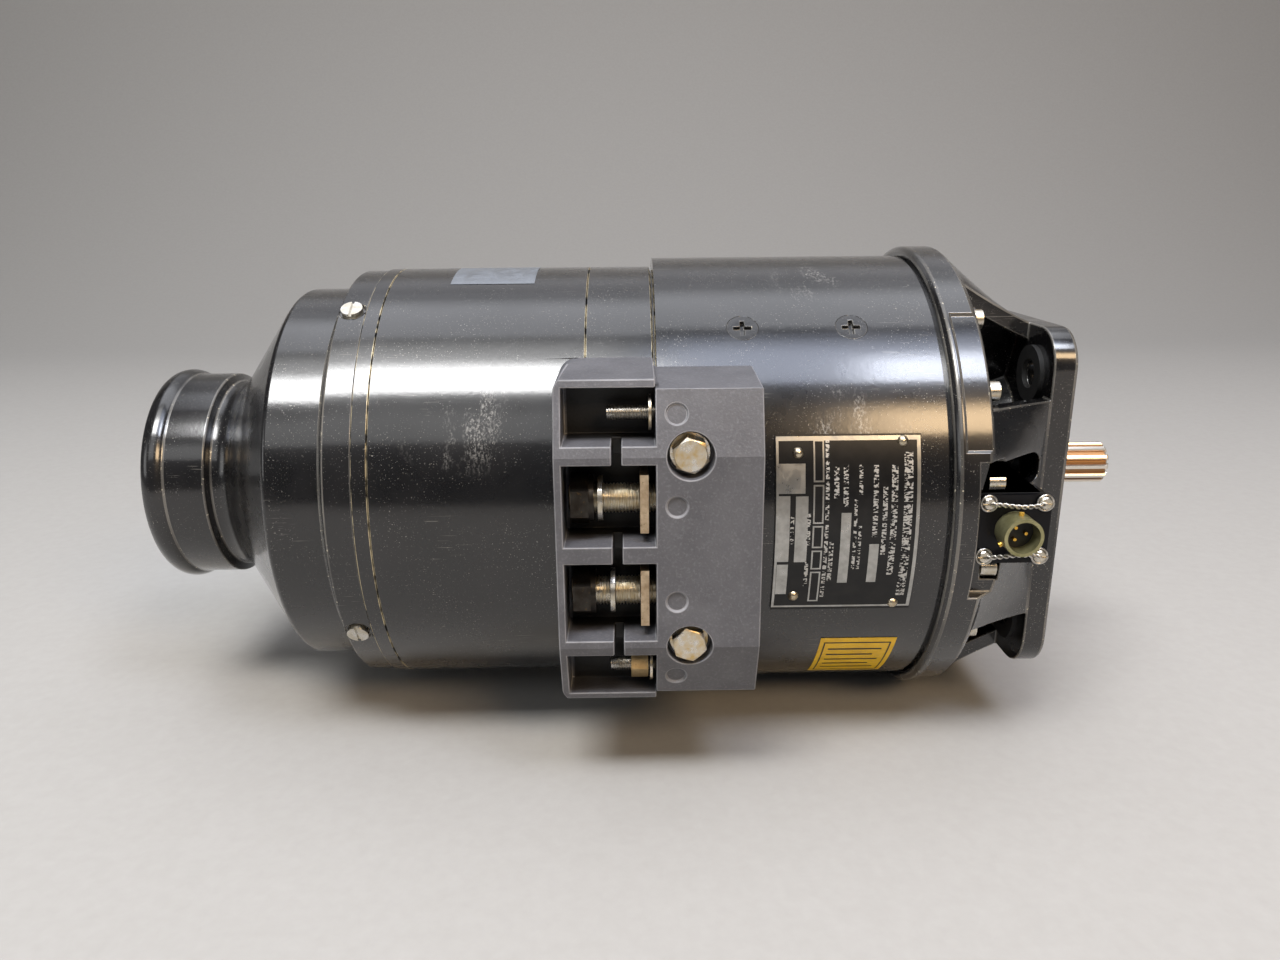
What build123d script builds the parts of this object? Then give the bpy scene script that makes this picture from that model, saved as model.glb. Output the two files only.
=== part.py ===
from build123d import *
from math import atan2, cos, degrees, pi, radians, sin, sqrt, tan
import os

# Aircraft starter generator, in millimetres.
# The origin is the centre of the mounting flange's outer face. +X runs out along the drive shaft,
# +Z is up and the terminal block faces -Y. Angles about the shaft are measured from -Y towards +Z.

# Drive end frame and its mounting flange
flange_edge_margin = 16.7
flange_thickness = 8.3
flange_corner_radius = 13.5
flange_bolt_circle = 127.0
flange_hole_diameter = 10.3
grommet_diameter = 19.6
grommet_thickness = 1.6
pilot_diameter = 76.2
pilot_height = 4.0
flange_bore_diameter = 44.0
rim_step = 3.5
rim_length = 13.1
rim_chamfer = 1.8
rim_wall = 16.0
rim_relief_depth = 1.2
rim_relief_start = 18.0
rim_relief_angle = 33.0
skirt_length = 24.1
skirt_wall = 6.0
pocket_edge_inset = 6.4
outlet_inner_edge = 11.4
outlet_width = 10.5
outlet_end_wall = 2.4
outlet_corner_radius = 4.0
pocket_corner_radius = 5.0
flange_edge_chamfer = 0.8
hub_wall = 9.5
hub_draft = 8.0
rib_thickness = 5.5
rib_angle = 25.0
register_depth = 5.0
register_wall = 4.0
spot_face_gap = 0.3
scallop_gap = 1.0

# Stator yoke and its screws
yoke_radius = 82.5
yoke_wall = 9.5
yoke_length = 94.0
joint_groove = 1.2
frame_screw_count = 16
frame_screw_inset = 6.3
frame_screw_diameter = 4.2
frame_screw_head_diameter = 6.8
frame_screw_head_height = 5.2
frame_screw_socket_width = 3.4
frame_screw_depth = 12.0
pole_screw_pitch = 36.3
pole_screw_head_diameter = 10.8
pole_screw_diameter = 6.0
interpole_screw_head_diameter = 8.4
interpole_screw_diameter = 4.6
pole_screw_bite = 6.0
screw_recess_depth = 1.6
screw_recess_length_share = 0.56
screw_recess_width_share = 0.13

# Commutator end frame and brush cover band
frame_step = 3.25
frame_ring_length = 23.5
frame_wall = 8.0
end_ring_length = 5.2
band_length = 70.3
band_thickness = 1.0
band_gap = 3.0
band_lug_height = 7.0
band_lug_width = 16.0
band_lug_thickness = 3.0
band_screw_diameter = 3.0
band_screw_head_diameter = 5.6
band_screw_head_height = 2.2
band_screw_slot_width = 0.8
band_screw_slot_depth = 0.8
band_nut_width = 5.5
band_nut_height = 2.4
brush_window_angle = 58.0
brush_window_end_wall = 5.0
spider_arm_width = 14.0
spider_hub_wall = 7.0
cover_register_wall = 9.0
frame_bore_slope = 2.0
bearing_lip = 3.0

# Inlet cover
cover_ring_step = 0.65
cover_ring_length = 9.5
cover_step_length = 3.0
cover_body_step = 6.6
cover_body_length = 18.6
cover_cone_length = 26.4
cover_edge_radius = 2.5
neck_fillet_radius = 8.0
neck_radius = 36.5
neck_length = 7.5
collar_step = 3.0
collar_step_length = 1.5
collar_length = 14.5
bead_bulge = 1.8
bead_length = 8.0
cover_wall = 2.4
cover_screw_angle = 60.0
cover_screw_inset = 5.1
cover_screw_head_diameter = 7.4
cover_screw_head_height = 2.2
cover_screw_slot_width = 1.0
cover_screw_slot_depth = 0.8
cover_screw_seat_depth = 1.1
cover_screw_seat_gap = 0.8
cover_screw_diameter = 3.6
cover_screw_length = 9.0

# Terminal block
block_solid_length = 32.3
block_joint_offset = 1.3
block_face_height = 17.7
block_face_half_width = 30.8
block_edge_height = 10.4
block_half_width = 50.0
block_draft = 2.0
block_root_depth = 19.5
tray_length = 30.6
tray_extra_width = 2.8
tray_wall = 2.4
tray_corner_radius = 6.0
barrier_thickness = 5.6
barrier_slot = 3.0
barrier_slot_place = 11.8
barrier_slot_depth = 14.0
block_floor = 2.4
outer_barrier_offset = 0.4
mark_diameter = 6.5
mark_depth = 0.8
mark_inset = 6.3
outer_mark_offset = 1.0
block_bolt_inset = 10.4
block_bolt_width = 10.0
block_bolt_turn = 42.0
block_bolt_head_height = 5.0
block_bolt_crown_share = 0.95
block_bolt_diameter = 6.3
block_bolt_depth = 8.0
block_bolt_washer_diameter = 12.2
block_bolt_washer_thickness = 1.2
block_counterbore_diameter = 14.2
block_counterbore_depth = 7.6

# Terminals
terminal_height = 7.0
small_terminal_height = 5.5
large_stud_diameter = 9.5
large_stud_place = 15.4
large_stud_reach = 26.8
large_stud_chamfer = 0.8
small_stud_diameter = 4.8
small_stud_place = 42.0
small_stud_reach = 15.0
small_stud_chamfer = 0.4
stud_root = 7.0
large_nut_width = 14.3
large_nut_height = 5.5
flat_washer_diameter = 14.2
flat_washer_thickness = 1.4
spring_washer_thickness = 1.6
spring_washer_split = 1.0
loose_washer_gap = 2.8
loose_washer_step = 3.4
nut_inset = 0.8
small_nut_width = 8.0
small_nut_height = 5.5
small_nut_gap = 2.6
small_washer_diameter = 11.0
small_washer_thickness = 0.8
small_washer_gap = 1.2
terminal_plate_height = 18.5
terminal_plate_width = 15.0
terminal_plate_thickness = 2.6
terminal_plate_gap = 2.2

# Armature, commutator and fan
pole_height = 23.0
armature_overhang = 2.0
air_gap = 0.8
slot_count = 20
slot_width = 5.0
slot_depth = 13.0
winding_overhang = 12.0
winding_top_depth = 1.5
winding_lap = 1.0
winding_lead_above = 2.0
winding_lead_below = 5.0
winding_lead_inset = 13.0
commutator_inset = 16.0
commutator_length = 44.0
commutator_bars = 36
commutator_cut_width = 0.9
commutator_cut_depth = 1.2
riser_height = 7.0
riser_length = 4.5
fan_tip_gap = 3.6
fan_hub_radius = 24.0
fan_hub_chamfer = 4.0
fan_hub_chamfer_length = 3.0
fan_blade_root = 3.0
fan_width = 13.0
fan_blades = 11
fan_blade_thickness = 2.2
fan_blade_pitch = 38.0

# Shafts
shaft_diameter = 36.0
shaft_bore = 22.0
shaft_tail_diameter = 22.0
quill_seat_diameter = 16.0
quill_diameter = 14.0
shear_neck_diameter = 11.5
shear_neck_length = 8.0
drive_bearing_recess = 6.0
shaft_stand_out = 3.0
thread_stand_out = 1.2
fan_clearance = 4.5
spline_major_diameter = 16.5
spline_minor_diameter = 13.8
spline_teeth = 12
spline_length = 24.0
spline_chamfer = 1.0
spline_pressure_angle = 30.0
spline_run_out = 1.2
neck_taper_length = 2.0
quill_taper_length = 6.0
bore_taper_length = 3.0
shaft_reach = 42.6
locknut_diameter = 38.0
locknut_length = 5.5
locknut_notch_width = 4.0
locknut_notch_depth = 2.0
fan_nut_width = 30.0
fan_nut_length = 6.0
quill_nut_width = 22.0
quill_nut_length = 6.0
damper_thickness = 2.0
damper_rim = 1.0

# Bearings
drive_bearing_bore = 30.0
drive_bearing_outer = 55.0
drive_bearing_width = 13.0
cover_bearing_bore = 25.0
cover_bearing_outer = 47.0
cover_bearing_width = 12.0
ball_count = 8
race_share = 0.27
race_land_share = 0.42
retainer_thickness = 2.5
retainer_inset = 1.0
retainer_lip = 4.0

# Poles and coils
pole_count = 4
pole_angle = 49.5
pole_body_width = 24.0
pole_shoe_angle = 58.0
pole_shoe_thickness = 5.0
pole_margin = 13.0
coil_side = 8.0
coil_end = 7.0
coil_height = 13.5
coil_corner_share = 0.8
interpole_width = 9.0
interpole_tip_gap = 1.6
interpole_coil_side = 3.5

# Brush gear
brush_angle = 45.0
brush_width = 10.0
brush_axial = 18.0
brush_height = 26.0
brush_place = 1.5
brush_hollow = 2.0
holder_wall = 1.5
holder_height = 20.0
holder_lift = 2.5
holder_foot_thickness = 3.0
holder_foot_inset = 6.0
holder_foot_lap = 1.0
holder_foot_side = 3.0
brush_spring_radius = 4.0
brush_spring_turn = 1.6
brush_spring_inset = 2.0
carrier_thickness = 4.0
carrier_recess = 6.5
bearing_cover = 1.0
brush_end_margin = 2.5
carrier_bore_gap = 11.0

# Connector
connector_place = 24.0
connector_seat_inset = 8.5
connector_seat_left = 37.5
connector_seat_side = 23.0
connector_flange_width = 23.4
connector_flange_thickness = 1.8
connector_corner_radius = 2.0
connector_boss_inset = 0.4
connector_gasket_thickness = 0.8
connector_screw_pitch = 18.26
connector_screw_diameter = 2.4
connector_screw_head_diameter = 4.2
connector_screw_head_height = 1.8
connector_screw_depth = 6.0
connector_screw_slot_width = 0.6
connector_screw_slot_depth = 0.6
connector_screw_chamfer = 0.4
connector_shell_diameter = 12.6
connector_shell_wall = 1.1
connector_reach = 8.8
connector_body_diameter = 15.0
connector_body_depth = 11.0
connector_body_shoulder = 1.0
connector_insert_depth = 5.8
connector_insert_root = 6.6
connector_pin_diameter = 1.1
connector_pin_length = 1.5
connector_pin_root = 4.8
connector_pin_circle = 4.6
connector_pin_count = 3
bayonet_pin_diameter = 1.6
bayonet_pin_height = 1.0
bayonet_pins = 3
bayonet_pin_share = 0.55
bayonet_pin_root = 0.2

# Name plate
plate_block_gap = 6.2
plate_height = 60.5
plate_thickness = 0.8
plate_start = 10.3
plate_angle = 1.4
rivet_diameter = 3.6
rivet_height = 1.2
rivet_left_inset = 7.2
rivet_left_edge = 5.8
rivet_right_inset = 5.8
rivet_right_edge = 2.3

# Clearances
running_gap = 0.05
seat_gap = 0.1
slide_gap = 0.15
brush_gap = 0.2
blind_hole_gap = 0.5
ball_gap = 0.06
overcut = 1.0

# Radii and distances that follow the yoke and the flange
flange_hole_place = flange_bolt_circle * sqrt(0.5) / 2
flange_half_width = flange_hole_place + flange_edge_margin
pocket_half_width = flange_hole_place - pocket_edge_inset
hub_radius = drive_bearing_outer / 2 + hub_wall
rim_radius = yoke_radius + rim_step
frame_radius = yoke_radius - frame_step
frame_screw_circle_radius = yoke_radius - frame_screw_inset
cover_ring_radius = frame_radius - cover_ring_step
cover_body_radius = cover_ring_radius - cover_body_step
collar_radius = neck_radius + collar_step
bead_radius = collar_radius + bead_bulge
fan_radius = cover_body_radius - cover_wall - fan_tip_gap
armature_radius = yoke_radius - yoke_wall - pole_height
winding_lead_radius = armature_radius - winding_lead_inset
commutator_radius = armature_radius - commutator_inset
riser_radius = commutator_radius + riser_height
carrier_bore_radius = commutator_radius + carrier_bore_gap
block_face_distance = yoke_radius + block_face_height
block_edge_distance = yoke_radius + block_edge_height
terminal_distance = yoke_radius + terminal_height
small_terminal_distance = yoke_radius + small_terminal_height
connector_seat_distance = rim_radius - connector_seat_inset
pole_length = yoke_length - 2 * pole_margin
armature_length = pole_length + 2 * armature_overhang

# Stations along the shaft, from the flange face towards the air inlet
flange_back = -flange_thickness
rim_right = flange_back - skirt_length
rim_left = rim_right - rim_length
yoke_left = rim_left - yoke_length
yoke_middle = rim_left - yoke_length / 2
ring_left = yoke_left - frame_ring_length
band_left = ring_left - band_length
frame_left = band_left - end_ring_length
cover_ring_left = frame_left - cover_ring_length
body_right = cover_ring_left - cover_step_length
body_left = body_right - cover_body_length
cone_left = body_left - cover_cone_length
neck_left = cone_left - neck_length
collar_left = neck_left - collar_length
cover_left = collar_left - bead_length
yoke_bore = yoke_radius - yoke_wall
register_radius = yoke_bore - running_gap
register_bore = register_radius - register_wall
band_seat_radius = frame_radius - band_thickness - seat_gap
frame_bore = band_seat_radius - frame_wall
cover_register_radius = cover_ring_radius - cover_wall - running_gap
cover_register_bore = cover_register_radius - cover_register_wall
cover_step_angle = atan2(cover_ring_radius - cover_body_radius, cover_step_length)
cover_step_shift = cover_wall * tan(cover_step_angle / 2)
cover_register_left = cover_ring_left + cover_step_shift + seat_gap

# Stations of the bearings, the rotor and the brush gear
drive_bearing_right = flange_back - drive_bearing_recess
drive_bearing_left = drive_bearing_right - drive_bearing_width
hub_left = drive_bearing_left - running_gap
shaft_right = flange_back + shaft_stand_out
carrier_left = frame_left + carrier_recess
spider_left = cover_register_left
cover_bearing_left = carrier_left - bearing_cover - cover_bearing_width
shaft_shoulder = cover_bearing_left + cover_bearing_width
fan_right = spider_left - fan_clearance
fan_left = fan_right - fan_width
fan_nut_left = fan_left - fan_nut_length
shaft_left = fan_nut_left - thread_stand_out
quill_nut_left = shaft_left - damper_thickness - quill_nut_length
quill_left = quill_nut_left - thread_stand_out
brush_left = carrier_left + carrier_thickness + holder_foot_thickness + holder_wall
brush_pair_length = 2 * brush_axial + brush_place
brush_right = brush_left + brush_pair_length
commutator_left = brush_left - brush_end_margin
commutator_right = commutator_left + commutator_length
riser_right = commutator_right + riser_length
core_left = yoke_middle - armature_length / 2
core_right = yoke_middle + armature_length / 2

# Stations of the terminal block and the name plate
tray_right = yoke_left - block_joint_offset
block_left = tray_right - tray_length
block_right = tray_right + block_solid_length
plate_right = rim_left - plate_start
plate_left = block_right + plate_block_gap
plate_face_radius = yoke_radius + seat_gap + plate_thickness


def turned(*outline):
    """Solid turned about the shaft axis from its (station, radius) corners."""
    return revolve(make_face(Polyline(*outline, close=True)), Axis.X)


def ring(left, right, outer, inner):
    """Plain ring about the shaft axis."""
    return turned((left, inner), (right, inner), (right, outer), (left, outer))


def disc(left, right, radius):
    """Plain cylinder about the shaft axis."""
    return turned((left, 0), (right, 0), (right, radius), (left, radius))


def at_angle(angle):
    """Turn from the terminal side (-Y) to an angle about the shaft."""
    return Rot(X=-angle)


def spread(shape, count, first=0.0):
    """Copies of a shape made on the terminal side, spread evenly about the shaft."""
    return [at_angle(first + k * 360 / count) * shape for k in range(count)]


def outward(station, side, distance):
    """Plane that faces outwards (-Y) at a station, a height and a distance from the shaft."""
    return Plane(origin=(station, -distance, side), x_dir=(1, 0, 0), z_dir=(0, -1, 0))


def facing_drive(station, distance=0.0, side=0.0):
    """Plane square to the shaft that faces along +X, with its x axis towards +Y."""
    return Plane(origin=(station, -distance, side), x_dir=(0, 1, 0), z_dir=(1, 0, 0))


def rod(plane, radius, height, start=0.0):
    """Round rod that rises from a plane."""
    return extrude(plane.offset(start) * Circle(radius), height)


def hexagon(plane, width, height, start=0.0, turn=0.0):
    """Hexagonal prism of a given width across its flats."""
    return extrude(plane.offset(start) * Rot(Z=turn) * RegularPolygon(width / 2, 6, major_radius=False), height)


def block_between(x, y, z):
    """Rectangular block from three pairs of limits."""
    size = [limits[1] - limits[0] for limits in (x, y, z)]
    middle = [(limits[0] + limits[1]) / 2 for limits in (x, y, z)]
    return Pos(*middle) * Box(*size)


def wedge(first, last, left, right, reach):
    """Wedge between two angles about the shaft, for cutting or keeping part of a ring."""
    middle = (first + last) / 2
    half = radians(last - first) / 2
    outline = [(0, 0), (-reach, reach * sin(half) / cos(half)), (-reach, -reach * sin(half) / cos(half))]
    flat = facing_drive(left) * make_face(Polyline(*outline, close=True))
    return at_angle(middle) * extrude(flat, right - left)


def flush_plane(station, head_diameter):
    """Plane on which a flush screw's rim just meets the yoke's curved surface."""
    return outward(station, 0, sqrt(yoke_radius ** 2 - (head_diameter / 2) ** 2))


def countersunk_screw(station, head_diameter, diameter):
    """Flush countersunk screw with a cross recess, on the terminal side of the yoke."""
    plane = flush_plane(station, head_diameter)
    length = yoke_wall + pole_screw_bite
    head_height = (head_diameter - diameter) / 2
    head = plane.offset(-head_height) * Solid.make_cone(diameter / 2, head_diameter / 2, head_height)
    shank = rod(plane, diameter / 2, length, -length)
    slot = plane.offset(-screw_recess_depth / 2)
    arm = head_diameter * screw_recess_length_share
    width = head_diameter * screw_recess_width_share
    cross = slot * Box(arm, width, screw_recess_depth) + slot * Box(width, arm, screw_recess_depth)
    return head + shank - cross


def square_section(station, half_width, corner_radius):
    """Rounded square outline about the shaft, as four sides and four corners."""
    straight = half_width - corner_radius
    bend = straight + corner_radius * sqrt(0.5)
    edges = []
    for k in range(4):
        turn = facing_drive(station) * Rot(Z=90 * k)
        side = Line((half_width, -straight), (half_width, straight))
        corner = ThreePointArc((half_width, straight), (bend, bend), (straight, half_width))
        edges += [turn * side, turn * corner]
    return make_face(edges)


def round_section(station, radius, side_share):
    """Circle about the shaft, divided as the rounded square is, so that a loft joins like to like."""
    side_angle = degrees(atan2(side_share, 1.0))

    def spot(angle):
        return (radius * cos(radians(angle)), radius * sin(radians(angle)))

    edges = []
    for k in range(4):
        turn = facing_drive(station) * Rot(Z=90 * k)
        side = ThreePointArc(spot(-side_angle), spot(0), spot(side_angle))
        corner = ThreePointArc(spot(side_angle), spot(45), spot(90 - side_angle))
        edges += [turn * side, turn * corner]
    return make_face(edges)


def skirt_body(inset):
    """Casting between the round rim and the square flange, or its hollow when inset."""
    half_width = flange_half_width - inset
    corner_radius = flange_corner_radius - inset
    share = (half_width - corner_radius) / half_width
    big_end = round_section(rim_right, rim_radius - rim_chamfer - inset, share)
    return loft([big_end, square_section(flange_back, half_width, corner_radius)], ruled=True)


def flange_hole_places():
    """Places of the four mounting holes on a plane square to the shaft."""
    return GridLocations(2 * flange_hole_place, 2 * flange_hole_place, 2, 2)


def hub_solid():
    """Drafted bearing hub, before its bores."""
    return turned((hub_left, 0), (hub_left, hub_radius), (flange_back, hub_radius + hub_draft), (flange_back, 0))


def drive_end_frame():
    """Cast drive end frame: rim, sloping walls with corner pockets, ribbed hub and square flange."""
    rim = turned(
        (rim_left - register_depth, register_bore), (rim_left - register_depth, register_radius),
        (rim_left, register_radius), (rim_left, rim_radius - rim_chamfer),
        (rim_left + rim_chamfer, rim_radius), (rim_right - rim_chamfer, rim_radius),
        (rim_right, rim_radius - rim_chamfer), (rim_right, rim_radius - rim_wall),
        (rim_left, register_bore))
    skirt = skirt_body(0.0) - skirt_body(skirt_wall)
    pocket_side = 2 * rim_radius
    pocket_middle = pocket_half_width + pocket_side / 2
    pocket = extrude(facing_drive(rim_right, pocket_middle, pocket_middle)
                     * RectangleRounded(pocket_side, pocket_side, pocket_corner_radius), skirt_length)
    for corner in spread(pocket, 4):
        skirt -= corner
    outlet = extrude(outward(rim_right, outlet_inner_edge + outlet_width / 2, hub_radius + hub_draft)
                     * RectangleRounded(2 * (skirt_length - outlet_end_wall), outlet_width, outlet_corner_radius),
                     rim_radius)
    for cut in spread(outlet, 4) + spread(mirror(outlet, Plane.XY), 4)[1:]:
        skirt -= cut
    rib = block_between((hub_left, flange_back), (-rim_radius, 0), (-rib_thickness / 2, rib_thickness / 2))
    ribs = Part() + spread(rib, 4, rib_angle) + spread(rib, 4, -rib_angle)
    flange = extrude(square_section(flange_back, flange_half_width, flange_corner_radius), flange_thickness)
    flange = chamfer(flange.faces().sort_by(Axis.X)[-1].edges(), flange_edge_chamfer)
    frame = flange + skirt + (ribs & skirt_body(skirt_wall / 2)) + hub_solid() + rim
    frame += disc(0, pilot_height, pilot_diameter / 2)
    seat_left = -connector_seat_left
    half_pad = connector_flange_width / 2 - connector_boss_inset
    pad_right = -connector_place + half_pad
    seat = -connector_seat_distance
    frame += block_between((seat_left, pad_right), (seat, seat + connector_body_depth), (-half_pad, half_pad))
    frame -= block_between((seat_left, 0), (-2 * rim_radius, seat), (-connector_seat_side, connector_seat_side))
    scallop = rod(facing_drive(rim_right, *screw_spot(-180 / frame_screw_count)),
                  frame_screw_head_diameter / 2 + scallop_gap, frame_screw_head_height + scallop_gap)
    frame -= scallop
    spot_face = rod(facing_drive(flange_back - skirt_length / 2), grommet_diameter / 2 + spot_face_gap,
                    skirt_length / 2)
    hole = rod(facing_drive(flange_back), flange_hole_diameter / 2, flange_thickness)
    for place in flange_hole_places():
        offset = Pos(0, place.position.X, place.position.Y)
        frame -= offset * spot_face
        frame -= offset * hole
    frame -= disc(rim_left, drive_bearing_right, drive_bearing_outer / 2 + running_gap)
    frame -= disc(rim_left, pilot_height, flange_bore_diameter / 2)
    relief = ring(rim_left + 2 * rim_chamfer, rim_right, rim_radius, rim_radius - rim_relief_depth)
    relief &= wedge(rim_relief_start, rim_relief_start + rim_relief_angle, rim_left, rim_right, 2 * rim_radius)
    for cut in spread(relief, 4):
        frame -= cut
    screw_hole = rod(facing_drive(rim_left, *screw_spot(180 / frame_screw_count)),
                     frame_screw_diameter / 2 + running_gap, rim_length)
    for cut in spread(screw_hole, frame_screw_count):
        frame -= cut
    body_hole = rod(outward(-connector_place, 0, connector_seat_distance),
                    connector_body_diameter / 2 + seat_gap, connector_body_depth, -connector_body_depth)
    frame -= body_hole
    for cut in connector_screw_shanks(running_gap):
        frame -= cut
    return frame


def screw_spot(angle):
    """Distance towards -Y and height of a frame screw at an angle about the shaft."""
    return frame_screw_circle_radius * cos(radians(angle)), frame_screw_circle_radius * sin(radians(angle))


def frame_screws():
    """Sixteen socket-head screws that hold the drive end frame to the yoke."""
    plane = facing_drive(rim_right, *screw_spot(180 / frame_screw_count))
    head = rod(plane, frame_screw_head_diameter / 2, frame_screw_head_height)
    head -= hexagon(plane, frame_screw_socket_width, frame_screw_head_height / 2, frame_screw_head_height / 2)
    shank_length = rim_length + frame_screw_depth
    shank = rod(plane, frame_screw_diameter / 2, shank_length, -shank_length)
    return spread(head + shank, frame_screw_count)


def grommets():
    """Rubber washers round the mounting holes, in the corner pockets."""
    washer = rod(facing_drive(flange_back - grommet_thickness), grommet_diameter / 2, grommet_thickness)
    washer -= rod(facing_drive(flange_back - grommet_thickness), flange_hole_diameter / 2, grommet_thickness)
    return [Pos(0, place.position.X, place.position.Y) * washer for place in flange_hole_places()]


def pole_screw_places():
    """Stations of the two screws that hold each pole."""
    return yoke_middle - pole_screw_pitch / 2, yoke_middle + pole_screw_pitch / 2


def pole_screws():
    """Flush screws of the main poles."""
    screws = []
    for station in pole_screw_places():
        screw = countersunk_screw(station, pole_screw_head_diameter, pole_screw_diameter)
        screws += spread(screw, pole_count, pole_angle)
    return screws


def interpole_screws():
    """Flush screws of the interpoles."""
    screws = []
    for station in pole_screw_places():
        screw = countersunk_screw(station, interpole_screw_head_diameter, interpole_screw_diameter)
        screws += spread(screw, pole_count, pole_angle + 180 / pole_count)
    return screws


def screw_bore(station, head_diameter, diameter):
    """Countersunk hole for a flush screw, open above its head and down through the yoke."""
    head_height = (head_diameter - diameter) / 2
    plane = flush_plane(station, head_diameter)
    cone = plane.offset(-head_height) * Solid.make_cone(diameter / 2, head_diameter / 2, head_height)
    above = rod(plane, head_diameter / 2, yoke_wall)
    return cone + above + rod(plane, diameter / 2 + running_gap, 2 * yoke_wall, -2 * yoke_wall)


def stator_yoke():
    """Steel yoke tube with its register bores, countersunk pole holes and tapped holes."""
    left_groove = yoke_left
    yoke = turned((left_groove, yoke_bore), (rim_left, yoke_bore), (rim_left, yoke_radius - joint_groove),
                  (rim_left - joint_groove, yoke_radius - joint_groove), (rim_left - joint_groove, yoke_radius),
                  (left_groove, yoke_radius))
    for station in pole_screw_places():
        main = screw_bore(station, pole_screw_head_diameter, pole_screw_diameter)
        small = screw_bore(station, interpole_screw_head_diameter, interpole_screw_diameter)
        for cut in spread(main, pole_count, pole_angle) + spread(small, pole_count, pole_angle + 180 / pole_count):
            yoke -= cut
    tapped = rod(facing_drive(rim_left - frame_screw_depth, *screw_spot(180 / frame_screw_count)),
                 frame_screw_diameter / 2 + running_gap, frame_screw_depth)
    for cut in spread(tapped, frame_screw_count):
        yoke -= cut
    for cut in block_bolt_shanks(running_gap):
        yoke -= cut
    return yoke


def tapped_hole(station, diameter):
    """Hole in a pole for its screw."""
    depth = pole_screw_bite + blind_hole_gap
    return rod(outward(station, 0, yoke_bore), diameter / 2 + running_gap, depth, -depth)


def pole_profile(body_width, shoe_angle, tip_radius, shoe_thickness):
    """End view of a pole: a body against the yoke and a curved shoe over the armature."""
    depth = yoke_bore - running_gap
    body = block_between((0, pole_length), (-yoke_radius, -tip_radius), (-body_width / 2, body_width / 2))
    shoe = ring(0, pole_length, tip_radius + shoe_thickness, tip_radius)
    shoe &= wedge(-shoe_angle / 2, shoe_angle / 2, 0, pole_length, 2 * yoke_radius)
    pole = (body & ring(0, pole_length, depth, tip_radius)) + shoe
    return Pos(yoke_middle - pole_length / 2, 0, 0) * pole


def main_poles():
    """Laminated main pole shoes."""
    pole = pole_profile(pole_body_width, pole_shoe_angle, armature_radius + air_gap, pole_shoe_thickness)
    for station in pole_screw_places():
        pole -= tapped_hole(station, pole_screw_diameter)
    return spread(pole, pole_count, pole_angle)


def interpoles():
    """Narrow commutating poles between the main poles."""
    tip = armature_radius + interpole_tip_gap
    pole = pole_profile(interpole_width, degrees(interpole_width / tip), tip, pole_shoe_thickness)
    for station in pole_screw_places():
        pole -= tapped_hole(station, interpole_screw_diameter)
    return spread(pole, pole_count, pole_angle + 180 / pole_count)


def coil(body_width, side):
    """Form-wound coil round a pole body, rounded at its ends and hollowed to the yoke."""
    outer_radius = yoke_bore - 2 * slide_gap
    inner_radius = armature_radius + air_gap + pole_shoe_thickness + 3 * seat_gap
    plane = outward(yoke_middle, 0, outer_radius - coil_height)
    outline = RectangleRounded(pole_length + 2 * coil_end, body_width + 2 * side, side * coil_corner_share)
    window = Rectangle(pole_length + 2 * seat_gap, body_width + 2 * seat_gap)
    solid = extrude(plane * (outline - window), coil_height + side)
    return solid & ring(yoke_left, rim_left, outer_radius, inner_radius)


def main_coils():
    """Main field coils."""
    return spread(coil(pole_body_width, coil_side), pole_count, pole_angle)


def interpole_coils():
    """Interpole coils."""
    return spread(coil(interpole_width, interpole_coil_side), pole_count, pole_angle + 180 / pole_count)


def commutator_end_frame():
    """Cast commutator end frame: long ring, four pillars between brush windows, end ring and spider."""
    groove_left = yoke_left - joint_groove
    frame = turned(
        (spider_left, cover_register_bore), (spider_left, cover_register_radius),
        (frame_left, cover_register_radius), (frame_left, frame_radius), (band_left, frame_radius),
        (band_left, band_seat_radius), (ring_left, band_seat_radius), (ring_left, frame_radius),
        (groove_left, frame_radius), (groove_left, frame_radius - joint_groove),
        (yoke_left, frame_radius - joint_groove), (yoke_left, register_radius),
        (yoke_left + register_depth, register_radius), (yoke_left + register_depth, register_bore),
        (yoke_left, register_bore), (yoke_left - frame_bore_slope, frame_bore),
        (carrier_left + carrier_thickness, frame_bore),
        (carrier_left, cover_register_bore))
    window = wedge(-brush_window_angle / 2, brush_window_angle / 2, band_left + brush_window_end_wall,
                   ring_left - brush_window_end_wall, 2 * frame_radius)
    for cut in spread(window, 4, brush_angle):
        frame -= cut
    frame -= ring(carrier_left, carrier_left + carrier_thickness, frame_bore, cover_register_bore - overcut)
    hub_outer = cover_bearing_outer / 2 + spider_hub_wall
    arm = block_between((spider_left, carrier_left), (-cover_register_bore - overcut, 0),
                        (-spider_arm_width / 2, spider_arm_width / 2))
    spider = Part() + spread(arm, 4) + disc(spider_left, carrier_left, hub_outer)
    frame += spider
    frame -= disc(cover_bearing_left, 0, cover_bearing_outer / 2 + running_gap)
    frame -= disc(spider_left - overcut, 0, cover_bearing_outer / 2 - bearing_lip)
    for cut in cover_screw_shanks(running_gap):
        frame -= cut
    return frame


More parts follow.
